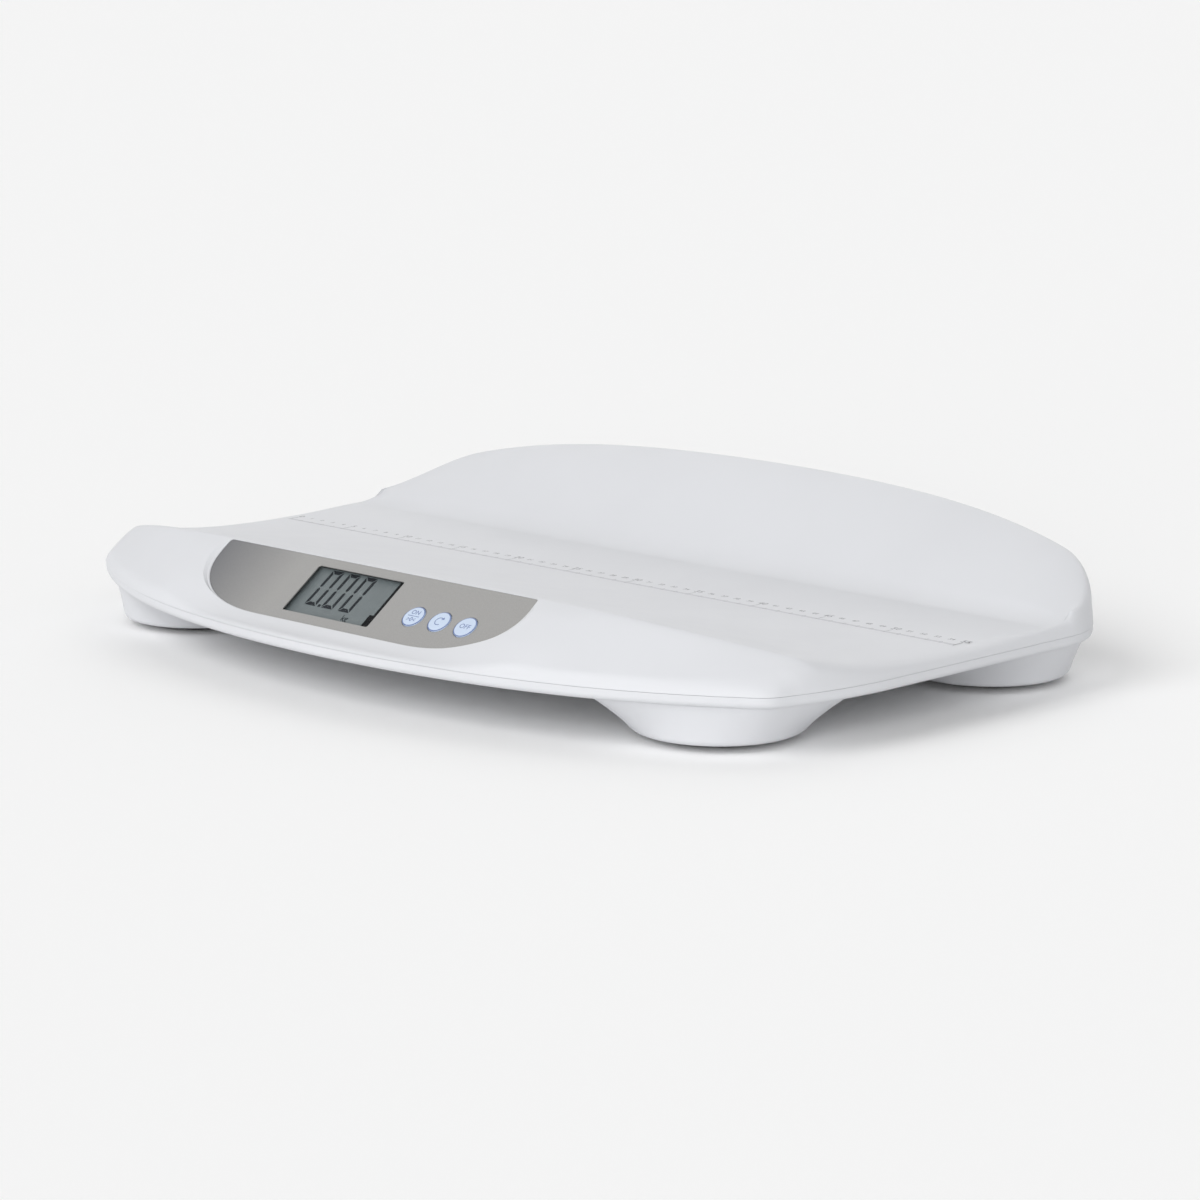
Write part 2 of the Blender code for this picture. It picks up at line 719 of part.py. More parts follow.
def panel_outline(offset):
    """The panel's outline in its own frame: straight along the top, with swept sides and a flat foot."""
    top = -PANEL_TOP_DROP + offset
    shoulder = -PANEL_TOP_DROP - PANEL_SHOULDER
    foot = -PANEL_TOP_DROP - PANEL_HEIGHT - offset
    sweep_x = PANEL_HALF_LENGTH - PANEL_HALF_FLAT + offset
    sweep_y = shoulder - foot
    right = [(PANEL_HALF_FLAT, foot)]
    for i in range(1, PANEL_STEPS + 1):
        angle = math.pi / 2 * i / PANEL_STEPS
        across = math.sin(angle) ** (2 / PANEL_CURVE)
        down = math.cos(angle) ** (2 / PANEL_CURVE) if i < PANEL_STEPS else 0.0
        right.append((PANEL_HALF_FLAT + sweep_x * across, shoulder - sweep_y * down))
    corner = PANEL_SHOULDER / 4
    side = PANEL_HALF_LENGTH + offset - corner / 2
    right += [(side, top - corner), (side - corner / 3, top - corner / 3), (side - corner, top)]
    return right + [(-x, y) for x, y in reversed(right)]


# Pieces

def make_panel_frame(collection):
    """An empty on the ridge, with Y up the apron and Z out of it, that carries the display parts."""
    frame = bpy.data.objects.new("panel_frame", None)
    collection.objects.link(frame)
    frame.location = (0, RIDGE_Y, RIDGE_HEIGHT)
    frame.rotation_euler = (APRON_TILT, 0, 0)
    return frame


def casing_bosses(frame, tools):
    """Posts under the upper casing for its screws and for the circuit board."""
    angles = [2 * math.pi * i / SMALL_FACETS for i in range(SMALL_FACETS)]
    rim = [(BOSS_RADIUS * math.cos(angle), BOSS_RADIUS * math.sin(angle)) for angle in angles]
    bm = bmesh.new()
    for x, y in screw_places():
        lowest = min(surface_height(x + across, y + along) for across, along in rim)
        add_rod(bm, BOSS_RADIUS, SEAM, lowest - WALL / 2, SMALL_FACETS, (x, y))
    screw_posts = add_tool(finish_mesh(bm, "screw_posts"), tools)
    mesh = rods_mesh("board_posts", board_post_places(), BOARD_POST_RADIUS, BOARD_FACE + FIT_GAP,
                     -WALL / 2, SMALL_FACETS)
    return screw_posts, add_tool(mesh, tools, frame)


def casing_holes(frame, tools):
    """Pilot holes up into the posts."""
    screw_holes = rods_mesh("screw_pilots", screw_places(), SCREW_RADIUS + FIT_GAP, SEAM - CUT_OVERRUN,
                            SCREW_TIP + FIT_GAP, SMALL_FACETS)
    board_holes = rods_mesh("board_pilots", board_post_places(), BOARD_SCREW_RADIUS + FIT_GAP,
                            BOARD_FACE - CUT_OVERRUN, BOARD_BACK + BOARD_SCREW_LENGTH, SMALL_FACETS)
    return add_tool(screw_holes, tools), add_tool(board_holes, tools, frame)


def display_cuts(frame, tools):
    """The recess for the panel, the window and the button holes."""
    recess = flat_mesh("panel_recess", panel_outline(FIT_GAP), -PANEL_RECESS, CUT_OVERRUN)
    low = -WALL - CUT_OVERRUN
    window = box_mesh("lens_opening", *window_box(LENS_OVERLAP + FIT_GAP, low, 0))
    holes = rods_mesh("button_holes", button_places().values(), BUTTON_RADIUS + FIT_GAP, low, 0, ROUND_FACETS)
    return [add_tool(mesh, tools, frame) for mesh in (recess, window, holes)]


def make_top_casing(frame, parts, tools):
    casing = add_object("top_casing", shell_solid("top_casing", 0, 0, SEAM), parts, WHITE)
    hollow = shell_solid("top_hollow", WALL, WALL, SEAM - CUT_OVERRUN)
    combine(casing, add_tool(hollow, tools), "DIFFERENCE")
    for post in casing_bosses(frame, tools):
        combine(casing, post, "UNION")
    for cut in (*casing_holes(frame, tools), *display_cuts(frame, tools)):
        combine(casing, cut, "DIFFERENCE")
    return casing


def pod_mesh(name, x, y):
    """A foot's drum. It flares out to the casing's underside, or as far as the casing's rim allows."""
    angles = [2 * math.pi * i / POD_FACETS for i in range(POD_FACETS)]
    rim = plan_loop(POD_FLARE_INSET)
    reaches = [reach_to(rim, x, y, angle) for angle in angles]
    side = POD_BOTTOM + POD_EDGE
    levels = [(0, POD_EDGE * inwards, POD_BOTTOM + POD_EDGE * up) for inwards, up in FOOT_ROUND_SHARES]
    shares = [i / FLARE_STEPS for i in range(FLARE_STEPS + 1)]
    levels += [(share, 0, side + (UNDERSIDE - side) * share) for share in shares]
    levels.append((1, 0, UNDERSIDE + WALL / 2))
    rings = []
    for share, inset, z in levels:
        flare = POD_RADIUS + POD_FLARE * share ** POD_FLARE_CURVE
        radii = [-soft_maximum(-flare, -reach, POD_BLEND) - inset for reach in reaches]
        rings.append([(x + r * math.cos(a), y + r * math.sin(a), z) for r, a in zip(radii, angles)])
    return loft_mesh(name, rings)


def add_pods(casing, tools):
    """Four drums under the casing, with a stepped well down through each."""
    well = CUP_RADIUS + CUP_FLANGE + POD_WELL_GAP
    hole = CUP_RADIUS + CUP_HOLE_GAP
    high, low = CASING_FLOOR + CUT_OVERRUN, POD_BOTTOM - CUT_OVERRUN
    profile = [(0, high), (POD_SHELF, high), (POD_SHELF, LEDGE_LEVEL), (well, LEDGE_LEVEL), (well, POD_FLOOR),
               (hole, POD_FLOOR), (hole, low), (0, low)]
    for name, (x, y) in pod_places().items():
        combine(casing, add_tool(pod_mesh("pod_" + name, x, y), tools), "UNION")
    for name, (x, y) in pod_places().items():
        combine(casing, turned("well_" + name, profile, POD_FACETS, tools, place=(x, y, 0)), "DIFFERENCE")


def bay_shapes(tools):
    """The battery bay's walls, and what is cut out of them."""
    outer_x = DOOR_HALF_LENGTH + DOOR_GAP + BAY_WALL
    outer_y = DOOR_HALF_WIDTH + DOOR_GAP + BAY_WALL
    top = BAY_TOP + BAY_WALL
    low = UNDERSIDE + LOWER_EDGE_INSET
    walls = box_mesh("bay_walls", (2 * outer_x, 2 * outer_y, top - low), (0, BAY_Y, (top + low) / 2))
    high = DOOR_TOP + FIT_GAP
    low = UNDERSIDE - CUT_OVERRUN
    size = (2 * (DOOR_HALF_LENGTH + DOOR_GAP), 2 * (DOOR_HALF_WIDTH + DOOR_GAP), high - low)
    recess = box_mesh("door_recess", size, (0, BAY_Y, (high + low) / 2))
    size = (2 * BAY_HALF_LENGTH, 2 * BAY_HALF_WIDTH, BAY_TOP - DOOR_TOP)
    inside = box_mesh("bay_inside", size, (0, BAY_Y, (BAY_TOP + DOOR_TOP) / 2))
    bm = bmesh.new()
    reach = 2 * (DOOR_HALF_LENGTH + HINGE_PIN_LENGTH + FIT_GAP + DOOR_GAP)
    add_cross_rod(bm, HINGE_PIN_RADIUS + HINGE_PIN_GAP, reach, SMALL_FACETS, (0, HINGE_Y, HINGE_Z))
    sockets = finish_mesh(bm, "hinge_sockets")
    return add_tool(walls, tools), [add_tool(mesh, tools) for mesh in (recess, inside, sockets)]


def screw_seats(tools):
    """The feet round the casing's screws, and the sinks and shank holes through them."""
    places = screw_places()
    feet = rods_mesh("casing_feet", places, BOSS_FOOT_RADIUS, UNDERSIDE + WALL / 2, SEAM - 2 * FIT_GAP,
                     SMALL_FACETS)
    sinks = rods_mesh("head_sinks", places, SCREW_HEAD_RADIUS + FIT_GAP, UNDERSIDE - CUT_OVERRUN, SHOULDER,
                      SMALL_FACETS)
    shanks = rods_mesh("shank_holes", places, SCREW_RADIUS + FIT_GAP, UNDERSIDE, SEAM + CUT_OVERRUN,
                       SMALL_FACETS)
    return add_tool(feet, tools), [add_tool(mesh, tools) for mesh in (sinks, shanks)]


def make_bottom_casing(parts, tools):
    rim, tuck = LOWER_EDGE_INSET, LOWER_EDGE_ROUND
    levels = [(rim + tuck * inwards, UNDERSIDE + tuck * up) for inwards, up in FOOT_ROUND_SHARES]
    levels += [(rim, UNDERSIDE + tuck), (rim, SEAM - FIT_GAP)]
    casing = add_object("bottom_casing", plan_solid("bottom_casing", levels), parts, WHITE)
    hollow = plan_solid("bottom_hollow", [(rim + WALL, CASING_FLOOR), (rim + WALL, SEAM + CUT_OVERRUN)])
    combine(casing, add_tool(hollow, tools), "DIFFERENCE")
    add_pods(casing, tools)
    walls, bay_cuts = bay_shapes(tools)
    feet, screw_cuts = screw_seats(tools)
    for shape in (walls, feet):
        combine(casing, shape, "UNION")
    for cut in (*bay_cuts, *screw_cuts):
        combine(casing, cut, "DIFFERENCE")
    return casing


def make_display_panel(frame, parts, tools):
    mesh = flat_mesh("display_panel", panel_outline(0), PANEL_BOTTOM, -PANEL_SINK)
    panel = add_object("display_panel", mesh, parts, SILVER, frame)
    low, high = PANEL_BOTTOM - CUT_OVERRUN, CUT_OVERRUN
    window = box_mesh("window_opening", *window_box(0, low, high))
    holes = rods_mesh("cap_openings", button_places().values(), BUTTON_RADIUS + FIT_GAP, low, high,
                      ROUND_FACETS)
    for mesh in (window, holes):
        combine(panel, add_tool(mesh, tools, frame), "DIFFERENCE")


def make_display_stack(frame, parts, tools):
    """Lens, gasket, glass and contact strip, one behind the other under the window."""
    lens = box_mesh("display_lens", *window_box(LENS_OVERLAP, LENS_BOTTOM, LENS_TOP))
    add_object("display_lens", lens, parts, CLEAR, frame)
    ring = box_mesh("display_gasket", *window_box(LENS_OVERLAP, GASKET_BOTTOM, GASKET_TOP))
    gasket = add_object("display_gasket", ring, parts, GASKET_BLACK, frame)
    box = window_box(LENS_OVERLAP - GASKET_WIDTH, GASKET_BOTTOM - CUT_OVERRUN, GASKET_TOP + CUT_OVERRUN)
    combine(gasket, add_tool(box_mesh("gasket_opening", *box), tools, frame), "DIFFERENCE")
    glass = box_mesh("lcd_glass", *window_box(LENS_OVERLAP, GLASS_BOTTOM, GLASS_TOP))
    add_object("lcd_glass", glass, parts, GLASS_GREEN, frame)
    low = -WINDOW_DROP - WINDOW_HEIGHT - LENS_OVERLAP + STRIP_WIDTH
    strip = box_mesh("lcd_contact_strip", (WINDOW_LENGTH, STRIP_WIDTH, STRIP_HEIGHT),
                     (WINDOW_X, low, (STRIP_TOP + STRIP_BOTTOM) / 2))
    add_object("lcd_contact_strip", strip, parts, RUBBER_BLACK, frame)


def make_circuit_board(frame, parts, tools):
    size = (BOARD_RIGHT - BOARD_LEFT, BOARD_HEIGHT, BOARD_THICKNESS)
    centre = ((BOARD_RIGHT + BOARD_LEFT) / 2, -BOARD_TOP_DROP - BOARD_HEIGHT / 2,
              (BOARD_FACE + BOARD_BACK) / 2)
    board = add_object("circuit_board", box_mesh("circuit_board", size, centre), parts, BOARD_GREEN, frame)
    holes = rods_mesh("board_holes", board_post_places(), BOARD_SCREW_RADIUS + FIT_GAP,
                      BOARD_BACK - CUT_OVERRUN, BOARD_FACE + CUT_OVERRUN, SMALL_FACETS)
    combine(board, add_tool(holes, tools, frame), "DIFFERENCE")
    behind = BOARD_BACK - FIT_GAP
    chip = box_mesh("controller_chip", (CHIP_SIDE, CHIP_SIDE, CHIP_THICKNESS),
                    (centre[0], centre[1], behind - CHIP_THICKNESS / 2))
    add_object("controller_chip", chip, parts, GASKET_BLACK, frame)
    for i, (x, y) in enumerate(board_post_places(), 1):
        turned("board_screw_%d" % i, [
            (0, BOARD_SCREW_LENGTH), (BOARD_SCREW_RADIUS, BOARD_SCREW_LENGTH), (BOARD_SCREW_RADIUS, 0),
            (BOARD_SCREW_HEAD_RADIUS, 0), (BOARD_SCREW_HEAD_RADIUS, -BOARD_SCREW_HEAD_HEIGHT / 2),
            (BOARD_SCREW_HEAD_RADIUS / 2, -BOARD_SCREW_HEAD_HEIGHT), (0, -BOARD_SCREW_HEAD_HEIGHT)],
            SMALL_FACETS, parts, STEEL, frame, (x, y, behind))


def make_buttons(frame, parts, tools):
    """Domed caps that are held by a flange under the casing, over tact switches on the board."""
    crown = -PANEL_SINK + BUTTON_PROUD
    rim = crown - BUTTON_DOME
    flange = BUTTON_RADIUS + BUTTON_FLANGE
    low = FLANGE_TOP - BUTTON_FLANGE_THICKNESS
    profile = [(0, crown), (BUTTON_RADIUS / 2, crown - BUTTON_DOME / 4), (BUTTON_RADIUS - BUTTON_DOME, rim),
               (BUTTON_RADIUS, rim - BUTTON_DOME), (BUTTON_RADIUS, FLANGE_TOP), (flange, FLANGE_TOP),
               (flange, low), (BUTTON_STEM_RADIUS, low), (BUTTON_STEM_RADIUS, STEM_END), (0, STEM_END)]
    body_top = SWITCH_TOP - SWITCH_PLUNGER_HEIGHT
    foot = BOARD_FACE + FIT_GAP
    size = (SWITCH_SIDE, SWITCH_SIDE, body_top - foot)
    for name, (x, y) in button_places().items():
        place = (x, y, 0)
        turned("button_" + name, profile, ROUND_FACETS, parts, BUTTON_BLUE, frame, place)
        mesh = box_mesh("switch_" + name, size, (0, 0, (body_top + foot) / 2))
        body = add_object("switch_" + name, mesh, parts, GASKET_BLACK, frame, place)
        plunger = rods_mesh("plunger_" + name, [(0, 0)], SWITCH_PLUNGER_RADIUS,
                            body_top - SWITCH_PLUNGER_HEIGHT, SWITCH_TOP, SMALL_FACETS)
        combine(body, add_tool(plunger, tools, frame, place), "UNION")


def make_casing_screws(parts):
    for i, (x, y) in enumerate(screw_places(), 1):
        turned("casing_screw_%d" % i, [
            (0, SCREW_LENGTH), (SCREW_RADIUS / 2, SCREW_LENGTH), (SCREW_RADIUS, SCREW_LENGTH - SCREW_RADIUS),
            (SCREW_RADIUS, 0), (SCREW_HEAD_RADIUS, 0), (SCREW_HEAD_RADIUS, -SCREW_HEAD_HEIGHT / 2),
            (SCREW_HEAD_RADIUS / 2, -SCREW_HEAD_HEIGHT), (0, -SCREW_HEAD_HEIGHT)],
            SMALL_FACETS, parts, STEEL, place=(x, y, HEAD_TOP))


def cell_direction(index):
    return 1 if index % 2 == 0 else -1


def cell_y(index):
    return BAY_Y + (index - (CELL_COUNT - 1) / 2) * CELL_PITCH


def make_cells(parts):
    """Cells side by side along X, each turned against its neighbour."""
    body = CELL_LENGTH - CELL_NUB_HEIGHT
    profile = [(0, CELL_LENGTH), (CELL_NUB_RADIUS, CELL_LENGTH), (CELL_NUB_RADIUS, body),
               (CELL_RADIUS - CELL_EDGE, body), (CELL_RADIUS, body - CELL_EDGE), (CELL_RADIUS, CELL_EDGE),
               (CELL_RADIUS - CELL_EDGE, 0), (0, 0)]
    tip = BAY_HALF_LENGTH - CONTACT_STANDOFF
    for i in range(CELL_COUNT):
        side = cell_direction(i)
        cell = turned("battery_%d" % (i + 1), profile, SMALL_FACETS, parts, CELL_BROWN,
                      place=(side * (tip - CELL_LENGTH), cell_y(i), CELL_AXIS))
        cell.rotation_euler = (0, side * math.pi / 2, 0)


def make_springs(parts):
    """A tapered coil between each cell's flat end and its contact."""
    length = SPRING_LENGTH - FIT_GAP
    rise = length - 2 * SPRING_WIRE_RADIUS
    count = SPRING_TURNS * SPRING_STEPS
    least = rise / SPRING_TURNS - 2 * SPRING_WIRE_RADIUS
    print("least gap between a battery spring's turns:", round(least, 6))
    for i in range(CELL_COUNT):
        side = cell_direction(i)
        curve = bpy.data.curves.new("battery_spring_%d" % (i + 1), "CURVE")
        curve.dimensions = "3D"
        curve.bevel_depth = SPRING_WIRE_RADIUS
        curve.bevel_resolution = 1
        curve.use_fill_caps = True
        spline = curve.splines.new("POLY")
        spline.points.add(count)
        for k, point in enumerate(spline.points):
            share = k / count
            angle = 2 * math.pi * k / SPRING_STEPS
            radius = SPRING_FOOT_RADIUS + (SPRING_TIP_RADIUS - SPRING_FOOT_RADIUS) * share
            point.co = (radius * math.cos(angle), radius * math.sin(angle),
                        SPRING_WIRE_RADIUS + rise * share, 1)
        foot = BAY_HALF_LENGTH - CONTACT_STANDOFF
        spring = add_object("battery_spring_%d" % (i + 1), curve, parts, STEEL,
                            place=(-side * foot, cell_y(i), CELL_AXIS))
        spring.rotation_euler = (0, side * math.pi / 2, 0)


def make_contacts(parts):
    """Plates at both ends of the bay that join the cells in a row, end to end."""
    groups = {"left": ((0,), (1, 2), (3,)), "right": ((0, 1), (2, 3))}
    face = BAY_HALF_LENGTH - FIT_GAP - CONTACT_THICKNESS / 2
    for end, side in (("left", -1), ("right", 1)):
        for number, cells in enumerate(groups[end], 1):
            ys = [cell_y(i) for i in cells]
            name = "battery_contact_%s_%d" % (end, number)
            size = (CONTACT_THICKNESS, CONTACT_WIDTH + max(ys) - min(ys), CONTACT_HEIGHT)
            mesh = box_mesh(name, size, (side * face, (max(ys) + min(ys)) / 2, CELL_AXIS))
            add_object(name, mesh, parts, STEEL)


def make_battery_door(parts, tools):
    """A flap on two pins at its front edge, with a latch tongue at its back edge."""
    length = 2 * DOOR_HALF_LENGTH
    width = 2 * DOOR_HALF_WIDTH - DOOR_THICKNESS / 2
    flap = box_mesh("battery_door", (length, width, DOOR_THICKNESS), (0, width / 2, 0))
    door = add_object("battery_door", flap, parts, WHITE, place=(0, HINGE_Y, HINGE_Z))
    roll = bmesh.new()
    add_cross_rod(roll, DOOR_THICKNESS / 2, length, ROUND_FACETS, (0, 0, 0))
    pins = bmesh.new()
    add_cross_rod(pins, HINGE_PIN_RADIUS, length + 2 * HINGE_PIN_LENGTH, SMALL_FACETS, (0, 0, 0))
    slots = bmesh.new()
    middle = width - LATCH_LENGTH / 2 + CUT_OVERRUN / 2
    for side in (-1, 1):
        add_box(slots, (LATCH_SLOT, LATCH_LENGTH + CUT_OVERRUN, DOOR_THICKNESS + 2 * CUT_OVERRUN),
                (side * (LATCH_WIDTH + LATCH_SLOT) / 2, middle, 0))
    low = -DOOR_THICKNESS / 2
    grip = rods_mesh("finger_grip", [(0, width - LATCH_LENGTH - GRIP_RADIUS)], GRIP_RADIUS,
                     low - CUT_OVERRUN, low + GRIP_DEPTH, ROUND_FACETS)
    for mesh in (finish_mesh(roll, "door_roll"), finish_mesh(pins, "door_pins")):
        combine(door, add_tool(mesh, tools, door), "UNION")
    for mesh in (finish_mesh(slots, "latch_slots"), grip):
        combine(door, add_tool(mesh, tools, door), "DIFFERENCE")


def make_feet(parts, tools):
    """In each pod: a rubber foot, its cup, a load cell plate and the retainer over it."""
    flange = CUP_RADIUS + CUP_FLANGE
    foot_profile = [(0, FOOT_HEIGHT), (FOOT_RADIUS, FOOT_HEIGHT), (FOOT_RADIUS, FOOT_EDGE),
                    (FOOT_RADIUS - FOOT_EDGE, 0), (0, 0)]
    cup_profile = [(0, CUP_POST_TOP), (CUP_POST_RADIUS, CUP_POST_TOP), (CUP_POST_RADIUS, CUP_TOP),
                   (flange, CUP_TOP), (flange, FLANGE_LEVEL), (CUP_RADIUS, FLANGE_LEVEL),
                   (CUP_RADIUS, CUP_BOTTOM), (0, CUP_BOTTOM)]
    high = RETAINER_LOW + RETAINER_THICKNESS
    for name, (x, y) in pod_places().items():
        place = (x, y, 0)
        turned("rubber_foot_" + name, foot_profile, POD_FACETS, parts, RUBBER_BLACK, place=place)
        turned("foot_cup_" + name, cup_profile, ROUND_FACETS, parts, CUP_GREY, place=place)
        make_load_cell(name, place, parts, tools)
        disc = rods_mesh("cell_retainer_" + name, [(0, 0)], RETAINER_RADIUS, RETAINER_LOW, high, POD_FACETS)
        retainer = add_object("cell_retainer_" + name, disc, parts, CUP_GREY, place=place)
        hole = rods_mesh("retainer_hole_" + name, [(0, 0)], RETAINER_HOLE, RETAINER_LOW - CUT_OVERRUN,
                         high + CUT_OVERRUN, ROUND_FACETS)
        combine(retainer, add_tool(hole, tools, place=place), "DIFFERENCE")


def make_load_cell(name, place, parts, tools):
    """A square plate whose slots leave a tongue in its frame."""
    middle = (CELL_PLATE_LOW + CELL_PLATE_HIGH) / 2
    size = (CELL_PLATE_SIDE, CELL_PLATE_SIDE, CELL_PLATE_THICKNESS)
    plate = box_mesh("load_cell_" + name, size, (0, 0, middle))
    cell = add_object("load_cell_" + name, plate, parts, ALLOY, place=place)
    inner = CELL_PLATE_SIDE / 2 - CELL_FRAME
    tall = CELL_PLATE_THICKNESS + 2 * CUT_OVERRUN
    bm = bmesh.new()
    for side in (-1, 1):
        add_box(bm, (CELL_SLOT, 2 * inner, tall), (side * (CELL_TONGUE_HALF + CELL_SLOT / 2), 0, middle))
    slots = finish_mesh(bm, "cell_slots_" + name)
    gap = box_mesh("cell_gap_" + name, (2 * CELL_TONGUE_HALF + CELL_SLOT, CELL_SLOT, tall),
                   (0, inner - CELL_SLOT / 2, middle))
    for mesh in (slots, gap):
        combine(cell, add_tool(mesh, tools, place=place), "DIFFERENCE")


def shade_round_pieces(parts):
    for thing in parts.objects:
        if thing.type == "MESH":
            thing.data.shade_smooth()
            thing.data.set_sharp_from_angle(angle=math.radians(30))


def main():
    clear_scene()
    parts = new_collection("baby_weighing_scale")
    tools = new_collection("cutters")
    frame = make_panel_frame(parts)
    make_top_casing(frame, parts, tools)
    make_bottom_casing(parts, tools)
    make_display_panel(frame, parts, tools)
    make_display_stack(frame, parts, tools)
    make_circuit_board(frame, parts, tools)
    make_buttons(frame, parts, tools)
    make_casing_screws(parts)
    make_cells(parts)
    make_springs(parts)
    make_contacts(parts)
    make_battery_door(parts, tools)
    make_feet(parts, tools)
    shade_round_pieces(parts)


main()
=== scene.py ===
"""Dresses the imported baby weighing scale: casings, display, buttons, ruler, feet and a plain studio.

Run as a script it builds everything in order. The panel in the 3D view's sidebar lists the steps.
"""
import math

import bmesh
import bpy
from mathutils import Matrix, Vector


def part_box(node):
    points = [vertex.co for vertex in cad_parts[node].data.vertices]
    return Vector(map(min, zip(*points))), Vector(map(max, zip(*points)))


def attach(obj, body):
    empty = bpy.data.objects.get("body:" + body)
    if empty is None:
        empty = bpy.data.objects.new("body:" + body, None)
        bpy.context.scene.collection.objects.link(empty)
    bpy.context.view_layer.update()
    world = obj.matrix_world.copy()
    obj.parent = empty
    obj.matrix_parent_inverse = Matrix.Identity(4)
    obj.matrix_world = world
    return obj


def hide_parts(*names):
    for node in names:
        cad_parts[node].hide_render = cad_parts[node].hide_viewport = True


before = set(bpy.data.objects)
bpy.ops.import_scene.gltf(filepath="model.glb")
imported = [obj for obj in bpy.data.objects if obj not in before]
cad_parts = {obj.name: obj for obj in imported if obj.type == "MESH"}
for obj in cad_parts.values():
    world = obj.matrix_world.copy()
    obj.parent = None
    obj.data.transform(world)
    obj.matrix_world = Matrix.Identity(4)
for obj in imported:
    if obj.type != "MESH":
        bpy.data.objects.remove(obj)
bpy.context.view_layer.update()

bl_info = {
    "name": "Baby Weighing Scale",
    "version": (1, 0, 0),
    "blender": (4, 5, 0),
    "location": "3D View > Sidebar > Scale",
    "description": "Builds the visible pieces and finishes of a baby weighing scale over its CAD model",
    "category": "Add Mesh",
}

# Overall sizes of the CAD model, in metres
LENGTH = 0.580
DEPTH = 0.390
HEIGHT = 0.090
WALL = 0.0028
FIT_GAP = 0.0003
EDGE_BREAK = 0.00015
CUT_OVERRUN = 0.002
POD_BOTTOM = 0.004
UNDERSIDE = 0.027
SEAM = 0.0336
TRAY_FLOOR = 0.040

# Plan outline
FRONT_BOW = 0.0593
FRONT_LATE_BOW = 0.0311
FRONT_CORNER_RADIUS = 0.018
END_BOW = 0.008
END_BOW_LENGTH = 0.060
END_BOW_Y = -0.035
END_BOW_FIRST_SHARE = 0.93
BACK_BOW = 0.020
BACK_LATE_BOW = 0.008
BACK_CORNER_RADIUS = 0.062
EDGE_INSET = 0.004
CREST_INSET = 0.007
EDGE_ROUND = 0.006
FLANK_LEAN = 0.0025
FLANK_LEAN_SHARE = 0.35
END_ROUND = 0.014
END_ROUND_FIRST_SHARE = 0.75
END_ROUND_FRONT_SHARE = 0.6
WIDE_ROUND_SHARE = 0.8
MOST_ROUND_SHARE = 0.7
LEAST_KNEE_SHARE = 0.35
MOST_FLANK_RISE = 1.5
LOWER_EDGE_INSET = 0.0002
LOWER_EDGE_ROUND = 0.0035

# Apron, ridge and lip
APRON_TILT = math.radians(36.3)
RIDGE_HEIGHT = 0.0694
RIDGE_SETBACK = 0.0573
RIDGE_END_SETBACK = 0.0552
RIDGE_END_DROP = 0.0217
RIDGE_BLEND = 0.002
FLAT_HALF_LENGTH = 0.132
FLAT_BLEND_LENGTH = 0.035
APRON_FOOT = 0.0045
LIP_HEIGHT = 0.0016
LIP_RISE_SHARE = 0.1
LIP_BLEND = 0.002

# Tray floor, cove and back wall
CREASE_Y = 0.030
COVE_Y = 0.100
WALL_FOOT_Y = 0.120
WALL_FOOT_RISE = 0.0085
WALL_CURVE = 1.35
CREST_BOW = 0.0138
CREST_LATE_BOW = 0.0207
END_FADE_LENGTH = 0.048
END_FADE_OVERRUN = 0.003
END_FADE_CURVE = 2.2
END_FADE_FALL = 0.8

# Display panel, in its own frame: X along the scale, Y up the apron, Z out of it
PANEL_TOP_DROP = 0.0015
PANEL_HEIGHT = 0.0483
PANEL_HALF_FLAT = 0.060
PANEL_HALF_LENGTH = 0.1275
PANEL_SHOULDER = 0.0085
PANEL_CURVE = 2.2
PANEL_THICKNESS = 0.0008
PANEL_RECESS = 0.0018
PANEL_SINK = 0.0007
PANEL_SLACK = 0.00005
PANEL_EDGE_ROUND = 0.00025
RECESS_EDGE_ROUND = 0.0007
RECESS_END_RISE = 0.0018
RECESS_END_FLARE = 0.0042
RECESS_END_X = 0.130
RECESS_END_CURVE = 1.3
RECESS_END_REACH = 0.045
RECESS_END_SPREAD = 1.6
RECESS_TOP_ONSET = 4.0
RECESS_FOOT_ONSET = 2.5
WINDOW_X = -0.0093
WINDOW_LENGTH = 0.0713
WINDOW_HEIGHT = 0.0358
WINDOW_DROP = 0.0074
WINDOW_CORNER = 0.0013
LENS_OVERLAP = 0.0040
LENS_THICKNESS = 0.0008
GASKET_THICKNESS = 0.0006

# Buttons
BUTTON_FIRST_X = 0.053
BUTTON_PITCH = 0.0205
BUTTON_DROP = 0.0296
BUTTON_RADIUS = 0.0073
BUTTON_PROUD = 0.0006
BUTTON_DOME = 0.0003
BUTTON_FLANGE = 0.0014
BUTTON_FLANGE_THICKNESS = 0.001
BUTTON_STEM_RADIUS = 0.002
BUTTON_STEM_LENGTH = 0.001

# Corner pods
POD_FLOOR_THICKNESS = 0.0025
POD_RADIUS = 0.0470
POD_EDGE = 0.0030
POD_FLARE = 0.0268
POD_FLARE_CURVE = 1.25
POD_FLARE_INSET = 0.0045
POD_BLEND = 0.004
CORNERS = ("front_left", "front_right", "back_left", "back_right")

# Wells for the feet, battery bay and screw sinks of the lower casing
RETAINER_CLEARANCE = 0.0004
WELL_CLEARANCE = 0.0015
DOOR_PIN_LENGTH = 0.0012
DOOR_GAP = 0.0005
BAY_WALL = 0.002
SCREW_SINK = 0.003

